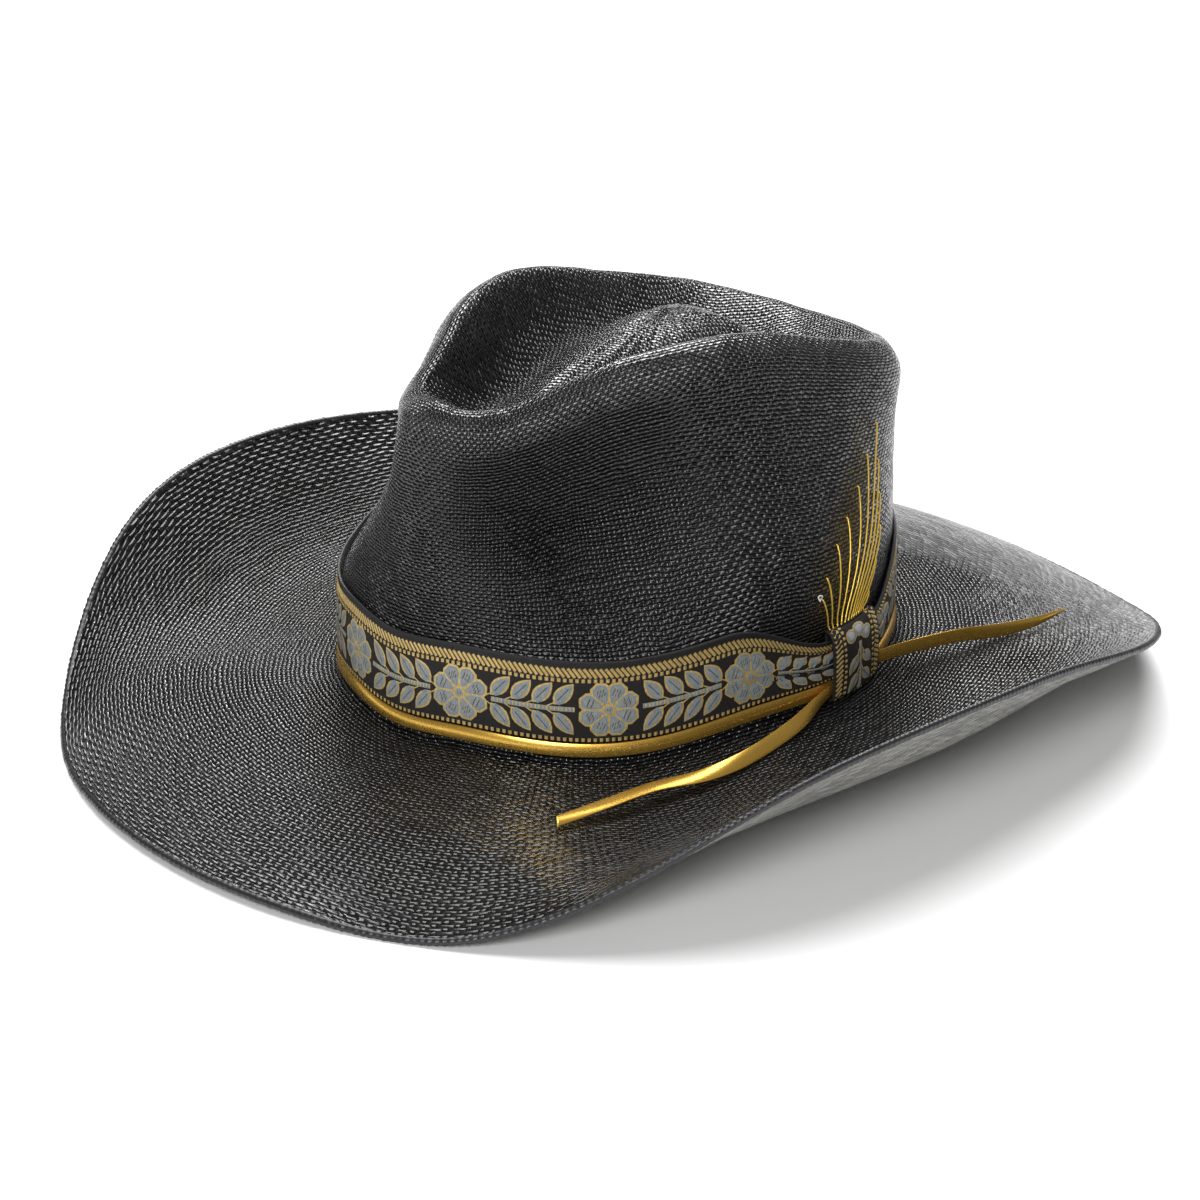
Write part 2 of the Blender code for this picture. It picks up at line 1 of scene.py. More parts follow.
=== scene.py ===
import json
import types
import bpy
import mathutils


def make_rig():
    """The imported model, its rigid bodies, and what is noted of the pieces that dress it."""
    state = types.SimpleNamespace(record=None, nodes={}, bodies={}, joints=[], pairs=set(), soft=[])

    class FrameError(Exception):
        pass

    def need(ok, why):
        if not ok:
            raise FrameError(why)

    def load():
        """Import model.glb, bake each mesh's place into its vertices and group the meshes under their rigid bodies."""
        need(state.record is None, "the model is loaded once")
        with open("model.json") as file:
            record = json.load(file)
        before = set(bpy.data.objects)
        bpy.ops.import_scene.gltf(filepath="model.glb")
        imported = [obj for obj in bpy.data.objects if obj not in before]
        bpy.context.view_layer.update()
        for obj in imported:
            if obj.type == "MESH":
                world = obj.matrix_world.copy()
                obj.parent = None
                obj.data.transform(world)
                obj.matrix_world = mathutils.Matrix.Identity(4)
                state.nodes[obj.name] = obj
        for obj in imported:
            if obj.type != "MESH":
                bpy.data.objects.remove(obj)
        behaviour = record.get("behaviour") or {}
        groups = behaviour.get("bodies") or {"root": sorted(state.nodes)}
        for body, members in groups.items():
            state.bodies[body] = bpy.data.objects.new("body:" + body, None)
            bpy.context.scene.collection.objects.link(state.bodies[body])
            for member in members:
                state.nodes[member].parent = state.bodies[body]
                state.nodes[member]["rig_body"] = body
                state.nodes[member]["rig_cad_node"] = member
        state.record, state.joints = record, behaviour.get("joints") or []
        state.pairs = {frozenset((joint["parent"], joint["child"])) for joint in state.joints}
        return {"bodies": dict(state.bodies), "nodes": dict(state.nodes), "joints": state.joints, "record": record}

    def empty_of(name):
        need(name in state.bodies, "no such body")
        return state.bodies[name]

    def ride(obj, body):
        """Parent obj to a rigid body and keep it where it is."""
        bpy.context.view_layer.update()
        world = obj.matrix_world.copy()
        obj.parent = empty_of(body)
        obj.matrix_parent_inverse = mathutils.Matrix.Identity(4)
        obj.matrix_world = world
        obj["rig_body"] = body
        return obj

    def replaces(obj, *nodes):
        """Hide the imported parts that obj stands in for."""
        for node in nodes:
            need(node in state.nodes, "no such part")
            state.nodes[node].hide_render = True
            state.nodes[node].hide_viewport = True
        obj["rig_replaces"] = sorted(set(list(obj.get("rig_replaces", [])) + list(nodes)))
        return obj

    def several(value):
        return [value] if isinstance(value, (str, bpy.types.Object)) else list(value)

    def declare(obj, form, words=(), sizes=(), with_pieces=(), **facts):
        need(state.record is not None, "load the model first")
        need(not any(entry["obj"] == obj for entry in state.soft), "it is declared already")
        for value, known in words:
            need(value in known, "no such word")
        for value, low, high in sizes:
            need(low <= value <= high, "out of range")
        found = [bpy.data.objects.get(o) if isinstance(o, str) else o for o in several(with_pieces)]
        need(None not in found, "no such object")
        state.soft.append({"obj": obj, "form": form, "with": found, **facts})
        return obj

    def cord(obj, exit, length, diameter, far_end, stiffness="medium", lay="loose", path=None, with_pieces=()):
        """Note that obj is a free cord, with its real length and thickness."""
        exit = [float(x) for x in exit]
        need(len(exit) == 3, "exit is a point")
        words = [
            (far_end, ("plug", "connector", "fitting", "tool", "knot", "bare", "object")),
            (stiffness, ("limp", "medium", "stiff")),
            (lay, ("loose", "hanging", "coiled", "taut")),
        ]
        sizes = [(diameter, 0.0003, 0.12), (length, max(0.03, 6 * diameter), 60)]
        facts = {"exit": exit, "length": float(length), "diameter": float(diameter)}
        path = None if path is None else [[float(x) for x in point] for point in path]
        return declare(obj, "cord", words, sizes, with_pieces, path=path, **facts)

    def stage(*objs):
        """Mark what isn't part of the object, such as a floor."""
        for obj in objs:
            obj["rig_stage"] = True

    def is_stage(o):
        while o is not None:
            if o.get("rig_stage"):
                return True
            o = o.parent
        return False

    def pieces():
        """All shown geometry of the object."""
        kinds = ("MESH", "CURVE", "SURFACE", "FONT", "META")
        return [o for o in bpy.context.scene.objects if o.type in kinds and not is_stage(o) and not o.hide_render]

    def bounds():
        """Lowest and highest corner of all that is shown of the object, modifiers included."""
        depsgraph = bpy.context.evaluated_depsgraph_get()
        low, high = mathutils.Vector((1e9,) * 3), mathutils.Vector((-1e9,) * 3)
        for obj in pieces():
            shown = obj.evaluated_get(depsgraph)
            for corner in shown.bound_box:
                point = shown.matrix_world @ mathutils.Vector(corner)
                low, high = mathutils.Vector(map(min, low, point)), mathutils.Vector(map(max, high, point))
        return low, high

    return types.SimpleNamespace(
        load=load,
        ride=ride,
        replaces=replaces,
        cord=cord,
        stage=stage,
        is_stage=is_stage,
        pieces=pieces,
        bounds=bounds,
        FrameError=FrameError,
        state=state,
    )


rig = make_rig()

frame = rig.load()

import json
import math

import bpy
import numpy as np
from mathutils import Matrix, Vector

cad_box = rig.bounds()
rng = np.random.default_rng(7)

MM = 0.001

# ---------------------------------------------------------------- hat block (mm)
# Angles run from the wearer's left (0) over the back (90) and the right (180) to the front (270).
HEAD_HALF_WIDTH = 87.0
HEAD_HALF_LENGTH = 103.0
STRAW = 0.9
LEAN_DEG = 0.22

# Stations every 15 degrees on the left half, front to back. The right half is its mirror image.
STATIONS = tuple(range(-90, 91, 15))
RIDGE_X = (0, 10, 19, 27, 36, 45, 50, 51, 52, 51, 42, 22, 0)
RIDGE_Y = (-86, -83.5, -74, -58, -42, -22, 0, 22, 45, 66, 82, 90, 92.5)
RIDGE_Z = (107, 105.5, 106, 111, 117, 120.5, 120, 115.5, 109, 103, 99, 97, 96)
WALL_HOLLOW = (1.0, 1.15, 1.6, 2.2, 2.1, 1.5, 0.95, 0.6, 0.45, 0.45, 0.5, 0.5, 0.5)
VALLEY_Z = (93, 91.5, 90.5, 91, 93.5, 96, 97, 96, 94.5, 92, 89.5, 87.5, 87)
VALLEY_IN = (0.30, 0.30, 0.30, 0.32, 0.36, 0.40, 0.42, 0.42, 0.42, 0.40, 0.36, 0.34, 0.34)
BRIM_WIDTH = (94.5, 95.5, 95.5, 92, 87, 81.5, 78.5, 80.5, 89.5, 93, 94, 92.5, 91.5)
BRIM_RIM_Z = (-14, -14.5, -14.5, 5, 27, 34.5, 33.5, 27.5, 17, 3.5, -10.5, -16.5, -17.5)
BRIM_SWEEP = (0.7, 0.8, 1.2, 1.7, 1.5, 1.5, 1.5, 1.4, 1.1, 0.9, 0.7, 0.6, 0.6)
BREAK_Z = (-2.5, -1, -2, -3.5, -2, 1, 0, -1, 0.5, 0.5, 2, 5.5, 7)
DOME_Y = 24.0
DOME_Z = 111.0
# Finger dents beside the front, and a soft shelf over the band: mm outwards at a quarter, half and three quarters of the wall.
DENT_AT = (-40, -50, -60)
DENT_DEEP = (-2.0, -4.4, -3.6)
DENT_WIDE = 12
SHELF_OUT = (2.4, -0.8, -2.2)
SHELF_AT, SHELF_WIDE = -14, 34
# The right side's dent is shallower and sits under the rim of the crown's front loop.
RIGHT_SHARE = 0.2
RIGHT_PUSH = (1.2, -0.8, -4.0, -4.2)
RIGHT_AT, RIGHT_WIDE = -62, 22

# ---------------------------------------------------------------- trimmings (mm)
HEM = 9.0
WIRE_R = 0.35
HOLE_R = 0.55
BAND_LOW, BAND_HIGH, BAND_THICK, BAND_OFF = 8.0, 35.8, 0.9, 0.45
STRIP_LOW, STRIP_HIGH, STRIP_THICK = 2.9, 7.4, 0.7
KEEPER_FROM, KEEPER_TO = 3.8, 19.2
KEEPER_HIGH, KEEPER_THICK = 25.6, 0.7
SWEAT_HIGH, SWEAT_THICK, REED_R = 33.0, 1.0, 0.9
THREAD_R = 0.28

SEGMENTS = 72


# ---------------------------------------------------------------- curves and surfaces
def round_curve(table, angle, anti=False):
    """Smooth closed curve through the stations, mirrored left to right; anti for a value that changes sign across the mirror."""
    at = np.array(list(STATIONS) + [180 - s for s in STATIONS[1:-1][::-1]], float)
    value = np.array(
        list(table) + [(-v if anti else v) for v in table[1:-1][::-1]], float
    )
    count = len(at)
    step = np.diff(np.append(at, at[0] + 360))
    matrix = np.zeros((count, count))
    right = np.zeros(count)
    for i in range(count):
        p, q = (i - 1) % count, (i + 1) % count
        matrix[i, p] += step[p]
        matrix[i, i] += 2 * (step[p] + step[i])
        matrix[i, q] += step[i]
        right[i] = 6 * ((value[q] - value[i]) / step[i] - (value[i] - value[p]) / step[p])
    bend = np.linalg.solve(matrix, right)
    deg = (np.degrees(angle) + 90) % 360 - 90
    i = np.clip(np.searchsorted(at, deg, side="right") - 1, 0, count - 1)
    q = (i + 1) % count
    h, u = step[i], deg - at[i]
    return (
        bend[i] * (h - u) ** 3 / (6 * h)
        + bend[q] * u**3 / (6 * h)
        + (value[i] / h - bend[i] * h / 6) * (h - u)
        + (value[q] / h - bend[q] * h / 6) * u
    )


def base_and_normal(angle):
    c, s = np.cos(angle), np.sin(angle)
    base = np.stack([HEAD_HALF_WIDTH * c, HEAD_HALF_LENGTH * s], -1)
    normal = np.stack([c / HEAD_HALF_WIDTH, s / HEAD_HALF_LENGTH], -1)
    return base, normal / np.linalg.norm(normal, axis=-1)[..., None]


def block_rows(angle):
    """Rows of points on the hat's outer face, from the brim's rim up the crown and over to the middle of its dome."""
    base, normal = base_and_normal(angle)
    ridge = np.stack(
        [round_curve(RIDGE_X, angle, True), round_curve(RIDGE_Y, angle)], -1
    )
    ridge_z = round_curve(RIDGE_Z, angle)
    break_z = round_curve(BREAK_Z, angle)
    rim_z = round_curve(BRIM_RIM_Z, angle)
    width = round_curve(BRIM_WIDTH, angle)
    sweep = round_curve(BRIM_SWEEP, angle)
    hollow = round_curve(WALL_HOLLOW, angle)
    rows = []

    def add(xy, z):
        rows.append(np.concatenate([xy, z[..., None]], -1))

    for s in (1, 0.82, 0.64, 0.46, 0.28, 0.12):
        rise = (1 - sweep) * s + sweep * s**3
        add(base + normal * (width * s)[..., None], break_z + (rim_z - break_z) * rise)
    add(base + normal * 4.2, break_z + (rim_z - break_z) * (1 - sweep) * 0.04 + 0.25)
    add(base + normal * 0.9, break_z + 1.3)
    add(base, break_z + 5.0)
    add(base - normal * 0.2, break_z + 18)
    add(base - normal * 0.8, break_z + 33)
    out = base - ridge
    reach = np.linalg.norm(out, axis=-1)[..., None]
    out = out / reach
    shoulder = ridge + out * np.minimum(reach, 8.5)
    deg = (np.degrees(angle) + 90) % 360 - 90
    side = np.where(deg > 90, 180 - deg, deg)
    on_right = np.clip((side + 90) / 18, 0, 1) * (deg > 90)
    on_right = on_right * on_right * (3 - 2 * on_right)
    far = on_right * np.exp(-(((side - RIGHT_AT) / RIGHT_WIDE) ** 2))
    for i, h in enumerate((0.25, 0.5, 0.75)):
        f = (hollow * h + (1 - hollow) * h * h)[..., None]
        low = base - normal * 0.8
        push = DENT_DEEP[i] * np.exp(-(((side - DENT_AT[i]) / DENT_WIDE) ** 2)) * (1 - (1 - RIGHT_SHARE) * on_right)
        push = push + RIGHT_PUSH[i] * far
        push = push + SHELF_OUT[i] * np.exp(-(((side - SHELF_AT) / SHELF_WIDE) ** 2))
        add(
            low + (shoulder - low) * f + normal * push[..., None],
            break_z + 33 + (ridge_z - 10 - break_z - 33) * h,
        )
    add(shoulder + normal * (RIGHT_PUSH[3] * far)[..., None], ridge_z - 10)
    add(ridge + out * np.minimum(reach, 4.6), ridge_z - 3.3)
    add(ridge, ridge_z - 0.2)
    dome = np.array([0, DOME_Y])
    inward = dome - ridge
    add(ridge + 4 * inward / np.linalg.norm(inward, axis=-1)[..., None], ridge_z - 1.2)
    valley_z = round_curve(VALLEY_Z, angle)
    valley = ridge + inward * round_curve(VALLEY_IN, angle)[..., None]
    add(ridge + (valley - ridge) * 0.5, ridge_z + (valley_z - ridge_z) * 0.62)
    add(valley, valley_z)
    add(valley + (dome - valley) * 0.35, valley_z + (DOME_Z - valley_z) * 0.5)
    add(valley + (dome - valley) * 0.7, valley_z + (DOME_Z - valley_z) * 0.9)
    add(dome + 0 * valley, DOME_Z + 0 * valley_z)
    return np.array(rows)


def row_knots():
    rows = block_rows(np.linspace(0, 2 * np.pi, 73)[:-1])
    gaps = np.linalg.norm(np.diff(rows, axis=0), axis=-1).mean(1)
    return np.concatenate([[0], np.cumsum(np.sqrt(gaps) * 3)])


KNOTS = row_knots()
ROWS = len(KNOTS)


def block_surface(angle, v):
    """Cubic surface through the rows: angle (n,), v (m,) in knot units, gives (m, n, 3) mm."""
    rows = block_rows(angle)
    h = np.diff(KNOTS)
    matrix = np.zeros((ROWS, ROWS))
    right = np.zeros_like(rows)
    matrix[0, 0] = 1
    for i in range(1, ROWS - 1):
        matrix[i, i - 1], matrix[i, i], matrix[i, i + 1] = h[i - 1], 2 * (h[i - 1] + h[i]), h[i]
        right[i] = 6 * ((rows[i + 1] - rows[i]) / h[i] - (rows[i] - rows[i - 1]) / h[i - 1])
    matrix[-1, -1], matrix[-1, -2] = 2 * h[-1], h[-1]
    slope = np.zeros_like(rows[0])
    slope[..., :2] = ((rows[-1] - rows[-2]) / h[-1])[..., :2]
    right[-1] = 6 * (slope - (rows[-1] - rows[-2]) / h[-1])
    bend = np.linalg.solve(matrix, right.reshape(ROWS, -1)).reshape(rows.shape)
    v = np.asarray(v, float)
    i = np.clip(np.searchsorted(KNOTS, v, side="right") - 1, 0, ROWS - 2)
    w, u = h[i][:, None, None], (v - KNOTS[i])[:, None, None]
    return (
        bend[i] * (w - u) ** 3 / (6 * w)
        + bend[i + 1] * u**3 / (6 * w)
        + (rows[i] / w - bend[i] * w / 6) * (w - u)
        + (rows[i + 1] / w - bend[i + 1] * w / 6) * u
    )


def surface_normals(angle, v):
    e = 1e-3
    along = block_surface(angle + e, v) - block_surface(angle - e, v)
    v = np.asarray(v, float)
    lower, upper = np.maximum(v - 0.05, 0), np.minimum(v + 0.05, KNOTS[-1])
    across = block_surface(angle, upper) - block_surface(angle, lower)
    normal = np.cross(along, across)
    return normal / np.maximum(np.linalg.norm(normal, axis=-1), 1e-12)[..., None]


def crown_point(angle_deg, height, off):
    """Point on the crown's side at this height above the brim's break, lifted off it by off."""
    angle = np.array([math.radians(angle_deg)])
    v = np.linspace(KNOTS[7], KNOTS[16], 400)
    points = block_surface(angle, v)[:, 0]
    level = points[:, 2] - round_curve(BREAK_Z, angle)[0]
    i = int(np.argmax(level > height))
    normal = surface_normals(angle, v[i : i + 1])[0, 0]
    return points[i] + normal * off


def wall_point(angle, off, height):
    """Point off the upright band zone of the crown, height measured from the brim's break."""
    base, normal = base_and_normal(angle)
    lean = -0.2 - 0.6 * np.clip((height - 18) / 15, 0, 1.2)
    return np.concatenate(
        [
            base + normal * (off + lean)[..., None],
            (round_curve(BREAK_Z, angle) + height)[..., None],
        ],
        -1,
    )


# ---------------------------------------------------------------- standing pose
lean = math.radians(LEAN_DEG)
TURN = np.array(
    [
        [1, 0, 0],
        [0, math.cos(lean), -math.sin(lean)],
        [0, math.sin(lean), math.cos(lean)],
    ]
)
shift = np.zeros(3)


def stand(points):
    return (np.asarray(points, float) @ TURN.T + shift) * MM


def tube_grid(sections, closed_path):
    """Quads joining closed sections (rows of the same count of points), with caps when the path is open."""
    sections = np.asarray(sections)
    rows, count = sections.shape[:2]
    faces = []
    for i in range(rows if closed_path else rows - 1):
        j = (i + 1) % rows
        for k in range(count):
            m = (k + 1) % count
            faces.append((i * count + k, i * count + m, j * count + m, j * count + k))
    if not closed_path:
        faces.append(tuple(range(count)))
        faces.append(tuple(range((rows - 1) * count, rows * count))[::-1])
    return sections.reshape(-1, 3), faces


def round_tube(path, radius, sides, closed_path=False):
    """Round tube along a path, with sections square to it."""
    path = np.asarray(path, float)
    sections = []
    count = len(path)
    for i, point in enumerate(path):
        if closed_path:
            ahead = path[(i + 1) % count] - path[i - 1]
        else:
            ahead = path[min(i + 1, count - 1)] - path[max(i - 1, 0)]
        ahead = ahead / np.linalg.norm(ahead)
        up = np.array([0, 0, 1.0]) if abs(ahead[2]) < 0.9 else np.array([1.0, 0, 0])
        side = np.cross(ahead, up)
        side /= np.linalg.norm(side)
        up = np.cross(side, ahead)
        turn = np.arange(sides) * 2 * np.pi / sides
        sections.append(point + radius * (np.outer(np.cos(turn), side) + np.outer(np.sin(turn), up)))
    return tube_grid(sections, closed_path)


def away_from_keeper(deg):
    """0 in the keeper, growing to 1 away from it: the ribbon gathers into the keeper."""
    middle = (KEEPER_FROM + KEEPER_TO) / 2
    half = (KEEPER_TO - KEEPER_FROM) / 2
    gone = abs((deg - middle + 180) % 360 - 180) - half
    t = min(max(gone / 24, 0), 1)
    return t * t * (3 - 2 * t)


def near_keeper(deg):
    return 1 - away_from_keeper(deg)


def band_low(deg):
    return BAND_LOW + 0.8 * near_keeper(deg)


def band_high(deg):
    return 23.0 + (BAND_HIGH - 23.0) * away_from_keeper(deg)


def band_in(deg):
    return BAND_OFF + 1.2 * near_keeper(deg) ** 2


KEEPER_OUTLINE = (
    (0.6, 4.2),
    (1.2, 2.3),
    (2.4, 1.35),
    (3.8, 1.35),
    (4.9, 2.6),
    (5.2, 7.5),
    (5.2, 13.0),
    (4.9, 19.0),
    (4.1, 23.5),
    (2.7, KEEPER_HIGH),
    (1.3, KEEPER_HIGH - 0.2),
    (0.6, KEEPER_HIGH - 1.6),
)
def smooth_path(stations, steps):
    """Catmull-Rom through rows of numbers, evenly by station."""
    rows = np.array(stations, float)
    ends = np.concatenate([[2 * rows[0] - rows[1]], rows, [2 * rows[-1] - rows[-2]]])
    out = []
    for i in range(len(rows) - 1):
        p0, p1, p2, p3 = ends[i : i + 4]
        for k in range(steps):
            t = k / steps
            out.append(
                0.5
                * (
                    2 * p1
                    + (p2 - p0) * t
                    + (2 * p0 - 5 * p1 + 4 * p2 - p3) * t * t
                    + (3 * p1 - p0 - 3 * p2 + p3) * t**3
                )
            )
    out.append(rows[-1])
    return np.array(out)


FRONT_TAIL = (
    (90.1, 8.6, 5.4, 0, 4.4),
    (91.4, 0.9, 4.4, 8, 4.5),
    (95.4, -16.4, 2.2, 40, 5.0),
    (97.2, -40.4, 0.3, 46, 5.0),
    (94.6, -58.0, -1.0, 66, 5.0),
    (88.9, -75.2, -0.9, 82, 4.8),
    (86.9, -96.4, -0.3, 80, 4.6),
    (85.0, -115.4, 0.1, 62, 3.6),
)
REAR_TAIL = (
    (86.0, 31.6, 5.8, 0, 4.4),
    (85.0, 39.5, 5.4, 0, 4.8),
    (87.2, 54.0, 5.0, 2, 5.0),
    (93.0, 71.3, 5.2, 2, 5.0),
    (98.4, 86.8, 4.0, -6, 4.8),
    (102.6, 101.4, 3.9, -14, 3.4),
    (102.6, 118.8, 3.2, -16, 0.8),
)
THREADS = (
    (4.6, 3.6, 36.5),
    (5.7, 5.6, 42.5),
    (7.0, 10.2, 51.5),
    (8.2, 15.4, 57.5),
    (9.4, 22.0, 64.0),
    (10.5, 28.4, 70.5),
    (11.5, 35.2, 78.0),
    (12.4, 32.8, 66.5),
    (13.3, 30.4, 56.5),
    (14.2, 28.0, 47.0),
    (15.2, 24.2, 38.5),
    (16.3, 20.0, 30.5),
)

# ================================================================ mesh helpers
def new_piece(name, points, faces, mats, body="hat", smooth=True, uv=None, mat_index=None, mm=True):
    """Mesh in metres from points in mm in the hat's own frame; uv is one row per face corner."""
    world = stand(points) if mm else np.asarray(points)
    mesh = bpy.data.meshes.new(name)
    mesh.from_pydata(world.tolist(), [], [tuple(int(i) for i in f) for f in faces])
    if not isinstance(mats, (list, tuple)):
        mats = [mats]
    for m in mats:
        mesh.materials.append(m)
    if smooth:
        mesh.polygons.foreach_set("use_smooth", np.ones(len(mesh.polygons), bool))
    if mat_index is not None:
        mesh.polygons.foreach_set("material_index", np.asarray(mat_index, np.int32))
    if uv is not None:
        layer = mesh.uv_layers.new(name="weave")
        layer.data.foreach_set("uv", np.asarray(uv, np.float32).ravel())
    mesh.update()
    obj = bpy.data.objects.new(name, mesh)
    bpy.context.scene.collection.objects.link(obj)
    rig.ride(obj, body)
    return obj


def ring_faces(rows, count, closed_rows=False, closed_count=True):
    """Quads of a grid of rows by count, as an array of corner numbers."""
    i = np.arange(rows if closed_rows else rows - 1)
    k = np.arange(count if closed_count else count - 1)
    i, k = [a.ravel() for a in np.meshgrid(i, k, indexing="ij")]
    j, m = (i + 1) % rows, (k + 1) % count
    return np.stack([i * count + k, i * count + m, j * count + m, j * count + k], 1), i, k


# ================================================================ shader helpers
class Net:
    """Short way to write a material's maths."""

    def __init__(self, name):
        self.mat = bpy.data.materials.new(name)
        self.mat.use_nodes = True
        self.tree = self.mat.node_tree
        self.shader = self.tree.nodes["Principled BSDF"]

    def node(self, kind, **settings):
        made = self.tree.nodes.new(kind)
        for key, value in settings.items():
            setattr(made, key, value)
        return made

    def put(self, socket, value):
        if isinstance(value, bpy.types.NodeSocket):
            self.tree.links.new(value, socket)
        else:
            socket.default_value = value

    def m(self, op, a, b=0.0, c=0.0, clamp=False):
        made = self.node("ShaderNodeMath", operation=op, use_clamp=clamp)
        for socket, value in zip(made.inputs, (a, b, c)):
            self.put(socket, value)
        return made.outputs[0]

    def uv(self):
        pin = self.node("ShaderNodeUVMap", uv_map="weave")
        apart = self.node("ShaderNodeSeparateXYZ")
        self.tree.links.new(pin.outputs[0], apart.inputs[0])
        return pin.outputs[0], apart.outputs[0], apart.outputs[1]

    def place(self):
        return self.node("ShaderNodeTexCoord").outputs["Object"]

    def noise(self, vector, scale, detail=3.0, rough=0.55):
        made = self.node("ShaderNodeTexNoise")
        self.put(made.inputs["Vector"], vector)
        made.inputs["Scale"].default_value = scale
        made.inputs["Detail"].default_value = detail
        made.inputs["Roughness"].default_value = rough
        return made.outputs["Fac"]

    def white(self, x, y):
        join = self.node("ShaderNodeCombineXYZ")
        self.put(join.inputs[0], x)
        self.put(join.inputs[1], y)
        made = self.node("ShaderNodeTexWhiteNoise", noise_dimensions="2D")
        self.tree.links.new(join.outputs[0], made.inputs["Vector"])
        return made.outputs["Value"]

    def mix(self, factor, a, b):
        made = self.node("ShaderNodeMix", data_type="RGBA")
        self.put(made.inputs[0], factor)
        for socket, value in ((made.inputs[6], a), (made.inputs[7], b)):
            self.put(socket, value if isinstance(value, bpy.types.NodeSocket) else (*value, 1))
        return made.outputs[2]

    def bump(self, height, distance, strength=1.0, normal=None):
        made = self.node("ShaderNodeBump")
        made.inputs["Strength"].default_value = strength
        made.inputs["Distance"].default_value = distance
        self.put(made.inputs["Height"], height)
        if normal is not None:
            self.tree.links.new(normal, made.inputs["Normal"])
        return made.outputs[0]

    def set(self, **values):
        for key, value in values.items():
            name = {"color": "Base Color", "rough": "Roughness", "metal": "Metallic", "normal": "Normal", "spec": "Specular IOR Level", "sheen": "Sheen Weight", "coat": "Coat Weight", "coat_rough": "Coat Roughness", "aniso": "Anisotropic"}[key]
            if key == "color" and not isinstance(value, bpy.types.NodeSocket):
                value = (*value, 1)
            self.put(self.shader.inputs[name], value)
        return self.mat


def straw_weave(name, dark, light, rough, bump_mm, gap=0.42):
    """Plain weave of flat straw: one cell of the UV map is one crossing."""
    n = Net(name)
    vector, u, v = n.uv()
    # strands aren't dead straight
    wob = n.noise(vector, 0.09, 2.0)
    u = n.m("ADD", u, n.m("MULTIPLY", n.m("SUBTRACT", wob, 0.5), 1.6))
    wob2 = n.noise(vector, 0.13, 2.0)
    v = n.m("ADD", v, n.m("MULTIPLY", n.m("SUBTRACT", wob2, 0.5), 1.8))
    iv = n.m("FLOOR", v)
    fv = n.m("SUBTRACT", v, iv)
    # in each row every second crossing has the long float of the strand that runs round
    half = n.m("MULTIPLY", n.m("SUBTRACT", u, n.m("FLOORED_MODULO", iv, 2.0)), 0.5)
    iu = n.m("FLOOR", half)
    reach = n.m("MULTIPLY_ADD", n.m("SUBTRACT", half, iu), 2.0, -1.0)
    du = n.m("ABSOLUTE", reach)
    r = n.white(iu, iv)
    r2 = n.white(n.m("ADD", iv, 31.7), n.m("ADD", iu, 11.3))
    r3 = n.white(n.m("ADD", iu, 5.1), n.m("ADD", iv, 77.9))
    strand = n.white(iv, 3.3)
    w2 = n.m("ABSOLUTE", n.m("MULTIPLY_ADD", fv, 2.0, -1.0))
    end = n.m("MULTIPLY_ADD", r3, 0.14, 0.78)
    round_float = n.m(
        "MULTIPLY",
        n.m("SUBTRACT", 1.0, n.m("POWER", n.m("DIVIDE", du, end), 2.6), clamp=True),
        n.m("SUBTRACT", 1.0, n.m("POWER", w2, 2.4), clamp=True),
    )
    out_du = n.m("SUBTRACT", 1.0, du)
    out_float = n.m(
        "MULTIPLY",
        n.m("SUBTRACT", 1.0, n.m("POWER", n.m("DIVIDE", out_du, 0.42), 2.0), clamp=True),
        n.m("MULTIPLY_ADD", n.m("POWER", w2, 3.0), -0.34, 0.36),
    )
    height = n.m("MAXIMUM", round_float, out_float)
    tilt = n.m("MULTIPLY", n.m("SUBTRACT", r2, 0.5), reach)
    tilt2 = n.m("MULTIPLY", n.m("SUBTRACT", r, 0.5), n.m("SUBTRACT", fv, 0.5))
    height2 = n.m("ADD", height, n.m("MULTIPLY", n.m("ADD", tilt, tilt2), 0.55))
    deep = n.m("MULTIPLY", height, 1.0 / gap, clamp=True)
    shade = n.m("MULTIPLY_ADD", n.m("ADD", n.m("MULTIPLY", r, 0.65), n.m("MULTIPLY", strand, 0.35)), 0.85, 0.08)
    cloud = n.noise(n.place(), 14.0, 4.0)
    shade = n.m("MULTIPLY", shade, n.m("MULTIPLY_ADD", cloud, 0.9, 0.55), clamp=True)
    straw_colour = n.mix(shade, dark, light)
    # painted shade: in the gaps between the floats the colour falls to a tenth of the dark straw
    colour = n.mix(deep, tuple(0.1 * c for c in dark), straw_colour)
    roughness = n.m("ADD", rough, n.m("MULTIPLY", n.m("SUBTRACT", r2, 0.5), 0.2))
    # light doesn't come back out of the gaps
    spec = n.m("MULTIPLY", deep, 0.62)
    return n.set(color=colour, rough=roughness, spec=spec, normal=n.bump(height2, bump_mm * MM))


def plain(name, colour, rough, metal=0.0, grain=900.0, bump_mm=0.05, spread=0.25, **more):
    n = Net(name)
    place = n.place()
    fine = n.noise(place, grain, 3.0)
    slow = n.noise(place, 40.0, 3.0)
    both = n.m("MULTIPLY_ADD", slow, 0.6, n.m("MULTIPLY", fine, 0.4), clamp=True)
    low, high = tuple(c * (1 - spread) for c in colour), tuple(min(1.0, c * (1 + spread)) for c in colour)
    return n.set(
        color=n.mix(both, low, high),
        rough=n.m("MULTIPLY_ADD", fine, 0.16, rough - 0.08),
        metal=metal,
        normal=n.bump(fine, bump_mm * MM),
        **more,
    )


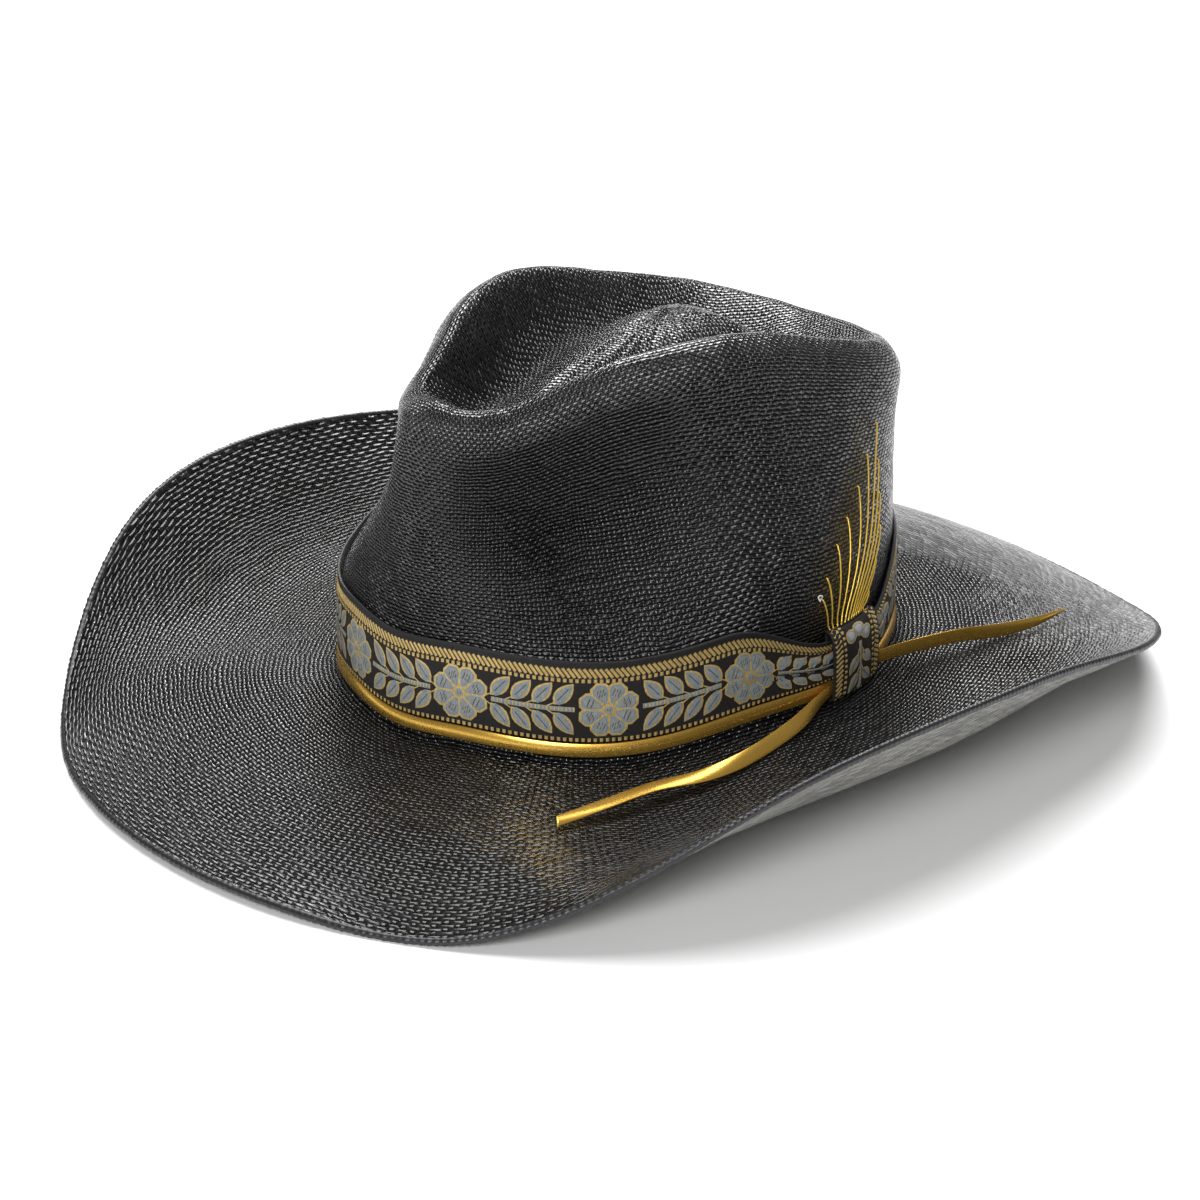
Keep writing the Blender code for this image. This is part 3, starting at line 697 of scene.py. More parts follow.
def woven_thread(name, colour, rough, pitch_u, pitch_v, bump_mm, metal=0.0, spread=0.3):
    """Thread floats of a woven ribbon: UV in mm, pitch in mm."""
    n = Net(name)
    vector, u, v = n.uv()
    pu, pv = n.m("DIVIDE", u, pitch_u), n.m("DIVIDE", v, pitch_v)
    iu, iv = n.m("FLOOR", pu), n.m("FLOOR", n.m("ADD", pv, n.m("MULTIPLY", n.m("FLOORED_MODULO", n.m("FLOOR", pu), 2.0), 0.5)))
    fu = n.m("SUBTRACT", pu, iu)
    fv = n.m("FRACT", n.m("ADD", pv, n.m("MULTIPLY", n.m("FLOORED_MODULO", iu, 2.0), 0.5)))
    hu = n.m("SINE", n.m("MULTIPLY", fu, math.pi))
    hv = n.m("POWER", n.m("SINE", n.m("MULTIPLY", fv, math.pi)), 0.5)
    height = n.m("MULTIPLY", hu, hv)
    r = n.white(iu, iv)
    low, high = tuple(c * (1 - spread) for c in colour), tuple(min(1.0, c * (1 + spread)) for c in colour)
    tone = n.mix(r, low, high)
    # painted shade: where the floats sink between each other the colour drops towards a quarter of the thread's colour
    tone = n.mix(n.m("MULTIPLY_ADD", height, 0.9, 0.25, clamp=True), tuple(0.25 * c for c in colour), tone)
    return n.set(color=tone, rough=rough, metal=metal, normal=n.bump(height, bump_mm * MM))


def brushed_gold(name, colour, rough):
    n = Net(name)
    vector, u, v = n.uv()
    stretch = n.node("ShaderNodeMapping")
    n.put(stretch.inputs[0], vector)
    stretch.inputs["Scale"].default_value = (0.05, 6.0, 1.0)
    lines = n.noise(stretch.outputs[0], 1.0, 4.0, 0.6)
    grain = n.noise(n.place(), 1600.0, 2.0)
    slow = n.noise(n.place(), 60.0, 2.0)
    both = n.m("MULTIPLY_ADD", lines, 0.6, n.m("MULTIPLY", grain, 0.4))
    # painted shade: the colour darkens to a deep brown towards both long edges, where the strip rolls over
    edge = n.m("POWER", n.m("ABSOLUTE", n.m("MULTIPLY_ADD", v, 2.0, -1.0)), 10.0)
    tone = n.mix(both, tuple(c * 0.8 for c in colour), tuple(min(1, c * 1.18) for c in colour))
    tone = n.mix(n.m("MULTIPLY", edge, 0.55, clamp=True), tone, (colour[0] * 0.45, colour[1] * 0.36, colour[2] * 0.3))
    return n.set(
        color=tone,
        rough=n.m("ADD", rough, n.m("MULTIPLY_ADD", slow, 0.14, n.m("MULTIPLY", both, 0.12))),
        metal=0.88,
        normal=n.bump(both, 0.03 * MM),
    )


# ================================================================ materials
STRAW_MAT = straw_weave("black_straw", (0.0022, 0.0022, 0.0024), (0.0165, 0.0163, 0.0165), 0.19, 0.72)
# painted bounce light: the same black straw in a much lighter colour for the underside and the inside, standing in for
# light thrown up from the floor
UNDER_PAINTED_BOUNCE_MAT = straw_weave("black_straw_under_painted_bounce", (0.05, 0.05, 0.046), (0.36, 0.355, 0.32), 0.42, 0.4)
EDGE_MAT = plain("rim_straw", (0.016, 0.016, 0.018), 0.36, grain=700, bump_mm=0.12, spread=0.6)
GOLD = brushed_gold("gold_strip_satin", (0.98, 0.54, 0.1), 0.14)
BLACK_CLOTH = woven_thread("ribbon_black", (0.014, 0.012, 0.011), 0.75, 0.35, 0.9, 0.06)
SELVEDGE = woven_thread("ribbon_selvedge", (0.012, 0.011, 0.011), 0.55, 0.5, 0.5, 0.1)
GOLD_THREAD = woven_thread("ribbon_gold", (0.98, 0.63, 0.23), 0.36, 0.3, 0.8, 0.08, metal=0.35, spread=0.25)
GREY_THREAD = woven_thread("ribbon_grey", (0.38, 0.4, 0.385), 0.6, 0.25, 1.3, 0.06, spread=0.2)
BLUE_THREAD = woven_thread("ribbon_blue", (0.26, 0.38, 0.47), 0.5, 0.25, 1.1, 0.06, spread=0.18)
DARK_THREAD = woven_thread("ribbon_hatch", (0.08, 0.078, 0.072), 0.6, 0.3, 0.8, 0.05)
PALE_THREAD = woven_thread("ribbon_pale", (0.62, 0.62, 0.6), 0.55, 0.25, 1.1, 0.08, spread=0.12)
YARN = plain("gold_yarn", (0.95, 0.56, 0.07), 0.25, metal=0.5, grain=1800, bump_mm=0.05)
KNOT_YARN = plain("pale_yarn", (0.72, 0.7, 0.62), 0.6, grain=1500, bump_mm=0.06)
LEATHER = plain("sweatband_leather", (0.03, 0.026, 0.024), 0.5, grain=500, bump_mm=0.12)
TAPE = woven_thread("reed_tape", (0.02, 0.02, 0.02), 0.65, 0.6, 0.6, 0.1)
BOW_CLOTH = plain("bow_grosgrain", (0.015, 0.015, 0.017), 0.5, grain=1200, bump_mm=0.06)

# ================================================================ straw shell
SWEEP_COUNT = 432
turn72 = np.arange(SEGMENTS) * 2 * np.pi / SEGMENTS


def lie(points):
    """Hat-frame points with the brim's lowest places pressed flat on the floor."""
    leant = np.asarray(points) @ TURN.T
    low = leant[..., 2] < FLOOR
    leant[..., 2] = np.where(low, FLOOR, leant[..., 2])
    return leant @ TURN


class Rim:
    """Local axes along the brim's rim: out along the brim and up from it."""

    def __init__(self, angles):
        self.angles = angles
        self.rim = block_surface(angles, [0.0])[0]
        inner = block_surface(angles, [1.2])[0]
        self.up = surface_normals(angles, [0.6])[0]
        out = self.rim - inner
        out -= (out * self.up).sum(-1)[:, None] * self.up
        self.out = out / np.linalg.norm(out, axis=-1)[:, None]

    def at(self, s, n):
        return self.rim + self.out * s + self.up * n


def v_at_distance(distance):
    v = np.linspace(0, KNOTS[3], 400)
    line = block_surface(np.array([0.0]), v)[:, 0]
    gone = np.concatenate([[0], np.cumsum(np.linalg.norm(np.diff(line, axis=0), axis=-1))])
    return float(np.interp(distance, gone, v))


HEM_V = v_at_distance(HEM)
BEAD = STRAW + HOLE_R
EDGE_HALF = 1.12  # half the height of the rolled edge
# where the CAD stands: its lowest point is pressed up by 0.6 mm, and its box is centred
coarse = Rim(turn72)
low_ring = [coarse.at(-BEAD + BEAD * math.cos(math.radians(t)), -BEAD + BEAD * math.sin(math.radians(t))) for t in (90, 45, 0, -45, -90)]
low_ring = np.array(low_ring + [coarse.at(-BEAD - 2.2, -2 * STRAW - 0.6)]) @ TURN.T
FLOOR = low_ring[..., 2].min() + 0.6
shift[:] = [
    -(low_ring[..., 0].min() + low_ring[..., 0].max()) / 2,
    -(low_ring[..., 1].min() + low_ring[..., 1].max()) / 2,
    -FLOOR,
]

fine = Rim(np.arange(SWEEP_COUNT) * 2 * np.pi / SWEEP_COUNT)
# rows about 1.4 mm apart on the outer face
probe_v = np.linspace(0, KNOTS[-1], 1200)
probe = block_surface(turn72, probe_v)
gone = np.concatenate([[0], np.cumsum(np.linalg.norm(np.diff(probe, axis=0), axis=-1).mean(1))])
LENGTH = gone[-1]


def length_at(v):
    return np.interp(v, probe_v, gone)


def v_at(length):
    return np.interp(length, gone, probe_v)


hem_len = float(length_at(HEM_V))
outer_v = v_at(np.linspace(BEAD + 0.35, LENGTH - 2.0, 174))
outer = block_surface(fine.angles, outer_v)
outer_n = surface_normals(fine.angles, outer_v)
# the hand-blocked straw isn't dead even
au, av = np.meshgrid(fine.angles, length_at(outer_v))
ripple = 0.10 * np.sin(9 * au + 0.06 * av) + 0.08 * np.sin(17 * au - 0.11 * av + 1.3) + 0.07 * np.sin(29 * au + 0.19 * av + 0.4)
outer = outer + outer_n * ripple[..., None] * np.clip(av / 40, 0.25, 1)[..., None]
inner_v = v_at(np.linspace(LENGTH - 2.0, hem_len, 64))
inner = block_surface(fine.angles, inner_v) - surface_normals(fine.angles, inner_v) * STRAW

hem_rows = []
hem_s = []
for t in (90, 60, 30, 0, -30, -60, -90):
    a = math.radians(t)
    hem_rows.append(fine.at(-BEAD + BEAD * math.cos(a), -EDGE_HALF + EDGE_HALF * math.sin(a)))
hem_rows.append(fine.at(-BEAD - 1.2, -2 * STRAW - 0.45))
hem_rows.append(fine.at(-5.5, -2 * STRAW - 0.3))
hem_rows.append(fine.at(-HEM + 0.4, -2 * STRAW - 0.2))
hem_rows.append(fine.at(-HEM, -2 * STRAW + 0.1))
hem_rows.append(fine.at(-HEM, -STRAW - 0.05))
hem_rows = np.array(hem_rows)

# one closed sheet: outer face from the dome to the hem, round the bead, under the hem and back inside
rows_all = np.concatenate([outer[::-1], hem_rows, inner[::-1]])
rows_all = lie(rows_all)
row_count, ring_count = rows_all.shape[:2]
centre_top = block_surface(turn72[:1], [KNOTS[-1]])[0, 0]
pts = np.concatenate([rows_all.reshape(-1, 3), [centre_top], [centre_top - [0, 0, STRAW]]])
quads, qi, qk = ring_faces(row_count, ring_count)
tri_top = [(row_count * ring_count, (k + 1) % ring_count, k) for k in range(ring_count)]
tri_in = [
    (row_count * ring_count + 1, (row_count - 1) * ring_count + k, (row_count - 1) * ring_count + (k + 1) % ring_count)
    for k in range(ring_count)
]

STRANDS = 360
hem_gone = np.concatenate([[0], np.cumsum(np.linalg.norm(np.diff(hem_rows, axis=0), axis=-1).mean(1))])
row_len = np.concatenate([length_at(outer_v)[::-1], BEAD - hem_gone, length_at(inner_v)[::-1]])


def weave_rows(length):
    """Rows of strands counted from the rim: wider on the brim than on the crown."""
    base_len = float(length_at(KNOTS[7]))
    return np.where(length < base_len, length / 1.45, base_len / 1.45 + (length - base_len) / 1.2)


row_uv = weave_rows(row_len)
col_uv = np.arange(ring_count + 1) / ring_count * STRANDS
quad_uv = np.empty((len(quads), 4, 2))
for c, (di, dk) in enumerate(((0, 0), (0, 1), (1, 1), (1, 0))):
    quad_uv[:, c, 0] = col_uv[qk + dk]
    quad_uv[:, c, 1] = row_uv[np.minimum(qi + di, row_count - 1)]
# over the top the strands lie square to each other
flat = rows_all.reshape(-1, 3)
ridge_len = float(length_at(KNOTS[16] * 0.4 + KNOTS[17] * 0.6))
top_face = (row_len[qi] > ridge_len) & (row_len[np.minimum(qi + 1, row_count - 1)] > ridge_len)
grid = flat[:, :2] @ np.array([[math.cos(0.6), -math.sin(0.6)], [math.sin(0.6), math.cos(0.6)]]) / 1.25
quad_uv[top_face] = grid[quads[top_face]]
tri_pts = np.concatenate([grid, [[0, 0], [0, 0]]])
tri_pts[-2:] = centre_top[:2] @ np.array([[math.cos(0.6), -math.sin(0.6)], [math.sin(0.6), math.cos(0.6)]]) / 1.25
uv_all = np.concatenate([quad_uv.reshape(-1, 2), tri_pts[np.array(tri_top).ravel()], tri_pts[np.array(tri_in).ravel()]])
# the underside of the rolled edge, the hem and the whole inner face take the lighter straw with painted bounce light
under_row = qi >= len(outer_v) + 5
straw_piece = new_piece(
    "straw_shell",
    pts,
    [tuple(q[::-1]) for q in quads] + [t[::-1] for t in tri_top] + [t[::-1] for t in tri_in],
    [STRAW_MAT, UNDER_PAINTED_BOUNCE_MAT],
    uv=np.concatenate(
        [
            quad_uv[:, ::-1].reshape(-1, 2),
            tri_pts[np.array([t[::-1] for t in tri_top]).ravel()],
            tri_pts[np.array([t[::-1] for t in tri_in]).ravel()],
        ]
    ),
    mat_index=np.concatenate([under_row.astype(int), np.zeros(len(tri_top), int), np.ones(len(tri_in), int)]),
)
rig.replaces(straw_piece, "straw_body")

# knobbly rolled edge of the rim, where each strand turns over the wire
EDGE_COUNT = 2160
edge = Rim(np.arange(EDGE_COUNT) * 2 * np.pi / EDGE_COUNT)
knob = np.arange(EDGE_COUNT) * 2 * np.pi / EDGE_COUNT
which = np.arange(EDGE_COUNT) // 4
size_of = rng.uniform(0.6, 1.25, EDGE_COUNT // 4 + 1)[which]
bump_row = 0.3 * size_of * np.sin(np.pi * ((np.arange(EDGE_COUNT) % 4) + 0.5) / 4) - 0.06
edge_rows = []
for t in np.linspace(118, -100, 10):
    a = math.radians(t)
    share = math.cos(math.radians(t * 0.78)) ** 0.5
    k = 1 + bump_row * share / EDGE_HALF
    skew = 0.35 * math.sin(math.radians(t)) * size_of
    edge_rows.append(
        edge.rim
        + edge.out * (-BEAD + BEAD * k * math.cos(a) + 0.12 * skew)[:, None]
        + edge.up * (-EDGE_HALF + EDGE_HALF * k * math.sin(a))[:, None]
    )
edge_rows = lie(np.array(edge_rows))
faces, _, _ = ring_faces(len(edge_rows), EDGE_COUNT)
new_piece("rim_edge", edge_rows.reshape(-1, 3), [tuple(f[::-1]) for f in faces], EDGE_MAT)

# ================================================================ ribbon round the crown
MIDDLE = (KEEPER_FROM + KEEPER_TO) / 2
arc_deg = np.linspace(-360, 360, 7201)
arc_pts = wall_point(np.radians(arc_deg), np.full(len(arc_deg), 1.5), np.full(len(arc_deg), 19.3))
arc_len = np.concatenate([[0], np.cumsum(np.linalg.norm(np.diff(arc_pts[:, :2], axis=0), axis=-1))])
arc_len -= np.interp(-43.0, arc_deg, arc_len)  # 0 at the middle of one flower
PITCH = 48.7
FLAT_HIGH = 29.0


def deg_at(u):
    return np.interp(u, arc_len, arc_deg)


def pleat(deg):
    return np.array([near_keeper(d) for d in np.atleast_1d(deg)])


def ribbon_point(u, v, off):
    """Point on the ribbon: u mm round from one flower's middle, v mm up the flat ribbon, off mm from its face."""
    deg = deg_at(np.asarray(u, float))
    near = pleat(deg)
    low = BAND_LOW + 0.8 * near
    high = 23.0 + (BAND_HIGH - 23.0) * (1 - near)
    share = np.asarray(v, float) / FLAT_HIGH
    height = low + (high - low) * share
    inward = BAND_OFF + 1.2 * near**2 + BAND_THICK + 0.15 * (1 - share)
    # gathers that deepen towards the keeper
    fold = 0.55 * near * np.sin(share * math.pi * 5 + 0.6) + 0.25 * near * np.sin(share * math.pi * 11)
    # a slight wave along its free upper edge
    wave = 0.18 * np.sin(np.asarray(u) * 0.16 + 1.0) * np.clip(share - 0.6, 0, 1) * 2.5
    return wall_point(np.radians(deg), inward + fold * np.sin(math.pi * np.clip(share, 0, 1)) + np.maximum(wave, 0) + off, height)


u_from, u_to = float(np.interp(MIDDLE - 359.7, arc_deg, arc_len)), float(np.interp(MIDDLE - 0.3, arc_deg, arc_len))
band_u = np.linspace(u_from, u_to, 560)
band_v = np.array([0, 0.25, 1.5, 4, 7, 10, 13, 16, 19, 21.5, 24, 26, 27.4, 28.3, 28.8, 29.0])
face_off = np.array([-0.25, 0, 0, 0, 0, 0, 0, 0, 0, 0, 0, 0, 0.05, 0.1, 0.05, -0.2])
face_rows = [ribbon_point(band_u, np.full(len(band_u), v), np.full(len(band_u), o)) for v, o in zip(band_v, face_off)]
back_rows = [ribbon_point(band_u, np.full(len(band_u), v), np.full(len(band_u), -BAND_THICK + 0.05)) for v in (28.8, 14.0, 0.2)]
band_grid = np.array(face_rows + back_rows)
faces, fi, fkk = ring_faces(len(band_grid), len(band_u), closed_rows=True, closed_count=False)
v_of = np.concatenate([band_v, [29, 14, 0]])
uv = np.empty((len(faces), 4, 2))
for c, (di, dk) in enumerate(((0, 0), (0, 1), (1, 1), (1, 0))):
    uv[:, c, 0] = band_u[fkk + dk]
    uv[:, c, 1] = v_of[(fi + di) % len(v_of)]
n_rows = len(band_grid)
caps = [
    tuple(i * len(band_u) for i in range(n_rows)),
    tuple(i * len(band_u) + len(band_u) - 1 for i in range(n_rows))[::-1],
]
uv_caps = np.zeros((2 * n_rows, 2))
ribbon = new_piece(
    "ribbon",
    band_grid.reshape(-1, 3),
    [tuple(f) for f in faces] + caps,
    [BLACK_CLOTH, SELVEDGE],
    uv=np.concatenate([uv.reshape(-1, 2), uv_caps]),
    mat_index=[1 if (v_of[i] >= 26 or i >= len(band_v)) else 0 for i in fi] + [0, 0],
)
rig.replaces(ribbon, "hatband")


# ---------------------------------------------------------------- woven figures, as raised threads in mm on the flat ribbon
class Figures:
    """Flat shapes on the ribbon: each is a dome-like patch with its own thread."""

    def __init__(self):
        self.pts, self.off, self.faces, self.mats = [], [], [], []

    def fan(self, outline, middle, mat, low, high):
        start = len(self.pts)
        outline = np.asarray(outline, float)
        inner = middle + (outline - middle) * 0.72
        self.pts += [tuple(p) for p in outline] + [tuple(p) for p in inner] + [tuple(middle)]
        n = len(outline)
        self.off += [low] * n + [high] * n + [high + 0.02]
        for i in range(n):
            j = (i + 1) % n
            self.faces += [(start + i, start + j, start + n + j, start + n + i), (start + n + i, start + n + j, start + 2 * n)]
            self.mats += [mat, mat]

    def bar(self, a, b, wide, mat, low, high, ends=1.0):
        a, b = np.array(a, float), np.array(b, float)
        along = (b - a) / max(np.linalg.norm(b - a), 1e-9)
        side = np.array([-along[1], along[0]]) * wide / 2
        start = len(self.pts)
        for p, k in ((a, ends), (b, ends)):
            self.pts += [tuple(p - side * k), tuple(p), tuple(p + side * k)]
            self.off += [low, high, low]
        self.faces += [(start, start + 3, start + 4, start + 1), (start + 1, start + 4, start + 5, start + 2)]
        self.mats += [mat, mat]

    def moved(self, turn):
        """The same figures through a function of (u, v)."""
        p = np.array(self.pts)
        return turn(p[:, 0], p[:, 1]), np.array(self.off)


def almond(base, tip, wide, steps=7):
    base, tip = np.array(base, float), np.array(tip, float)
    along = tip - base
    side = np.array([-along[1], along[0]]) / np.linalg.norm(along)
    t = np.linspace(0, 1, steps)
    half = wide / 2 * np.sin(np.pi * t**0.9) ** 0.85
    up = [base + along * a + side * h for a, h in zip(t, half)]
    down = [base + along * a - side * h for a, h in zip(t[-2:0:-1], half[-2:0:-1])]
    return np.array(up + down)


GOLD_I, GREY_I, BLUE_I, DARK_I, PALE_I = 0, 1, 2, 3, 4


def petal_outline(turn, size, inner, outer_r, wide):
    """Heart-round petal pointing outwards at this angle."""
    t = np.linspace(0, 1, 8)
    r = inner + (outer_r - inner) * t
    half = wide / 2 * np.array([0.16, 0.42, 0.66, 0.86, 0.98, 1.0, 0.82, 0.0])
    r[-1] = outer_r
    c, s = math.cos(turn), math.sin(turn)
    pts = [(a * c - h * s, a * s + h * c) for a, h in zip(r, half)]
    pts += [(a * c + h * s, a * s - h * c) for a, h in zip(r[-2::-1], half[-2::-1])]
    return np.array(pts) * size


def scale_about(outline, middle, k, grow):
    out = np.asarray(outline, float) - middle
    length = np.linalg.norm(out, axis=1)[:, None]
    return middle + out * (1 + grow / np.maximum(length, 0.4)) * k


def add_flower(fig, u, v, rx, ry, petal=GREY_I):
    scale = np.array([rx / 10.0, ry / 10.0])
    for k in range(8):
        turn = math.radians(22.5 + 45 * k)
        edge_line = petal_outline(turn, 1.0, 1.6, 10.3, 6.5)
        middle = np.array([math.cos(turn), math.sin(turn)]) * 6.2
        at = lambda p: np.array([u, v]) + np.asarray(p) * scale
        fig.fan(at(edge_line), at(middle), GOLD_I, 0.03, 0.08)
        ring = scale_about(edge_line, middle, 1, -0.85)
        fig.fan(at(ring), at(middle), BLUE_I, 0.1, 0.13)
        core = scale_about(edge_line, middle, 1, -1.45)
        fig.fan(at(core), at(middle), petal, 0.14, 0.17)
        c, s = math.cos(turn), math.sin(turn)
        for q in (-1, 0, 1):
            for w in (-0.55, 0.75):
                centre = np.array([c, s]) * (6.2 + w) + np.array([-s, c]) * q * 0.95
                fig.bar(at(centre + np.array([0.18, 0.62])), at(centre - np.array([0.18, 0.62])), 0.3, DARK_I, 0.18, 0.19)
    ring = [(2.1 * math.cos(a), 2.1 * math.sin(a)) for a in np.linspace(0, 2 * math.pi, 12, endpoint=False)]
    fig.fan(np.array([u, v]) + np.array(ring) * scale, np.array([u, v]), GOLD_I, 0.16, 0.2)
    fig.fan(np.array([u, v]) + np.array(ring) * scale * 0.72, np.array([u, v]), petal, 0.2, 0.24)
    for q in (-0.55, 0, 0.55):
        fig.bar((u + q - 0.1, v - 0.5), (u + q + 0.1, v + 0.5), 0.22, DARK_I, 0.25, 0.26)


def add_leaf(fig, base, tip, wide):
    middle = (np.array(base) + np.array(tip)) / 2
    outline = almond(base, tip, wide)
    fig.fan(outline, middle, GOLD_I, 0.03, 0.08)
    fig.fan(scale_about(outline, middle, 1, -0.72), middle, GREY_I, 0.1, 0.14)
    along = (np.array(tip) - base) / np.linalg.norm(np.array(tip) - base)
    fig.bar(middle - along * 3.0, middle + along * 2.9, 1.0, BLUE_I, 0.15, 0.18)
    fig.bar(middle - along * 3.0, middle + along * 2.6, 0.28, DARK_I, 0.19, 0.2)


def add_spray(fig, u0, u1, v, lean):
    """Stem from u0 to u1 with four pairs of leaves; lean is -1 when they point back to u0 and 1 when they point to u1."""
    n = 22
    for i in range(n):
        a, b = u0 + (u1 - u0) * i / n, u0 + (u1 - u0) * (i + 0.62) / n
        fig.bar((a, v), (b, v), 1.75, BLUE_I if i % 2 else GREY_I, 0.08, 0.17)
        fig.bar((b, v), (u0 + (u1 - u0) * (i + 1) / n, v), 1.6, GOLD_I, 0.06, 0.13)
    gap = 6.8
    first = (u0 + 6.9) if lean < 0 else (u1 - 6.9)
    for k in range(4):
        foot = first - lean * gap * k
        for side in (1, -1):
            base = np.array([foot + lean * 0.2, v + side * 1.4])
            tip = np.array([foot + lean * 6.6, v + side * 9.2])
            add_leaf(fig, base, tip, 5.3)
            # twig from the stem to the leaf
            fig.bar((foot - lean * 1.9, v + side * 0.7), (foot + lean * 0.6, v + side * 2.2), 0.42, GOLD_I, 0.06, 0.12)
            fig.bar((foot - lean * 0.9 + lean * 2.6, v + side * 1.55), (foot - lean * 0.9 + lean * 4.4, v + side * 3.0), 0.85, BLUE_I, 0.08, 0.15)


flat_figures = Figures()
FIELD_V = 11.9
first_repeat, last_repeat = math.floor(u_from / PITCH), math.ceil(u_to / PITCH)
for k in range(first_repeat, last_repeat + 1):
    u = k * PITCH
    add_flower(flat_figures, u, FIELD_V, 10.1, 10.1)
    # flowers take turns: leaves point at one and away from the next
    toward = -1 if k % 2 == 0 else 1
    add_spray(flat_figures, u + 10.9, u + PITCH - 10.9, FIELD_V, toward)
rope_u = np.arange(u_from + 0.8, u_to - 0.8, 1.72)
for u in rope_u:
    # slanting bars of the upper border lean one way along one half and the other way along the next
    flat_figures.bar((u + 1.15, 23.3), (u - 1.15, 26.5), 0.98, GOLD_I, 0.02, 0.16)
for u in np.arange(u_from + 0.8, u_to - 0.8, 1.95):
    flat_figures.bar((u, 21.55), (u, 22.85), 1.08, GOLD_I, 0.02, 0.15)
    flat_figures.bar((u, 0.25), (u, 1.55), 1.02, GOLD_I, 0.02, 0.15)

uvs = np.array(flat_figures.pts)
place = ribbon_point(uvs[:, 0], uvs[:, 1], np.array(flat_figures.off) + 0.02)
# the raised rear tail would touch the lowest figures here, so they are left out
hidden = (place[:, 0] > 76) & (place[:, 1] > 28) & (place[:, 1] < 42) & (uvs[:, 1] < 5.0)
keep = []
for f, m in zip(flat_figures.faces, flat_figures.mats):
    us = uvs[list(f), 0]
    if us.min() > u_from + 0.3 and us.max() < u_to - 0.3 and not hidden[list(f)].any():
        keep.append((f, m))
new_piece(
    "ribbon_figures",
    place,
    [f for f, _ in keep],
    [GOLD_THREAD, GREY_THREAD, BLUE_THREAD, DARK_THREAD, PALE_THREAD],
    uv=np.concatenate([uvs[list(f)] for f, _ in keep]),
    mat_index=[m for _, m in keep],
    smooth=False,
)

# ================================================================ keeper: the same ribbon folded round, its pattern upright
outline = np.array(KEEPER_OUTLINE)
dense = []
for i in range(len(outline)):
    p0, p1, p2, p3 = (outline[(i + d) % len(outline)] for d in (-1, 0, 1, 2))
    for k in range(5):
        t = k / 5
        dense.append(0.5 * (2 * p1 + (p2 - p0) * t + (2 * p0 - 5 * p1 + 4 * p2 - p3) * t * t + (3 * p1 - p0 - 3 * p2 + p3) * t**3))
outline = np.array(dense)
KEEP_ARC = None


def keeper_point(deg, where, off):
    """Point on the keeper: deg round the crown, where along its outline (0..1), off out from its face."""
    n = len(outline)
    at = (np.asarray(where) % 1.0) * n
    i = np.floor(at).astype(int) % n
    f = at - np.floor(at)
    p = outline[i] * (1 - f)[..., None] + outline[(i + 1) % n] * f[..., None]
    ahead = outline[(i + 2) % n] - outline[(i - 1) % n]
    ahead /= np.linalg.norm(ahead, axis=-1)[..., None]
    right = np.stack([ahead[..., 1], -ahead[..., 0]], -1)
    share = (np.asarray(deg) - KEEPER_FROM) / (KEEPER_TO - KEEPER_FROM)
    swell = np.clip(np.sin(np.pi * np.clip(share, 0, 1)), 0, 1) ** 0.7
    p = p + right * np.asarray(off)[..., None]
    bulge = 0.12 * swell * np.clip(p[..., 0] - 3.2, 0, None)
    crease = 0.12 * np.sin(share * 25 + p[..., 1] * 0.25)
    return wall_point(np.radians(np.asarray(deg, float)), p[..., 0] + bulge + crease * (p[..., 0] > 3.2), p[..., 1])


keep_deg = np.linspace(KEEPER_FROM, KEEPER_TO, 40)
keep_t = np.arange(len(outline)) / len(outline)
ring_a = np.array([keeper_point(np.full(len(keep_t), d), keep_t, np.zeros(len(keep_t))) for d in keep_deg])
ring_b = np.array([keeper_point(np.full(len(keep_t), d), keep_t, np.full(len(keep_t), -KEEPER_THICK)) for d in keep_deg])
kr, kc = len(keep_deg), len(keep_t)
fa, ki, kk = ring_faces(kr, kc)
faces = [tuple(f) for f in fa] + [tuple(f[::-1] + kr * kc) for f in fa]
for k in range(kc):
    m = (k + 1) % kc
    faces.append((k, kr * kc + k, kr * kc + m, m))
    e = (kr - 1) * kc
    faces.append((e + k, e + m, kr * kc + e + m, kr * kc + e + k))
KEEP_WIDE = 23.6  # mm of ribbon across the keeper, its full width a little crushed
pt_uv = np.stack([np.tile(np.repeat((keep_deg - KEEPER_FROM) / (KEEPER_TO - KEEPER_FROM) * KEEP_WIDE, kc), 2), np.tile(np.tile(keep_t * 60, kr), 2)], 1)
keeper = new_piece(
    "ribbon_keeper",
    np.concatenate([ring_a.reshape(-1, 3), ring_b.reshape(-1, 3)]),
    faces,
    BLACK_CLOTH,
    uv=np.concatenate([pt_uv[list(f)] for f in faces]),
)
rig.replaces(keeper, "keeper")

# where the outer face starts and ends along the outline: from its foot to its top
front_line = outline
seg = np.linalg.norm(np.roll(outline, -1, 0) - outline, axis=1)
along_all = np.concatenate([[0], np.cumsum(seg)])
ROUND = along_all[-1]
foot_len = float(along_all[int(np.argmin(np.abs(outline[:, 1] - 1.36) + 0.01 * np.abs(outline[:, 0] - 3.8)))])


def keeper_map(x, y, off):
    """x mm across the keeper from its front edge, y mm up along its face from its foot."""
    t = np.interp((foot_len + np.asarray(y, float)) % ROUND, along_all, np.arange(len(along_all)) / len(outline))
    deg = KEEPER_FROM + np.asarray(x, float) / KEEP_WIDE * (KEEPER_TO - KEEPER_FROM)
    return keeper_point(deg, t, off)


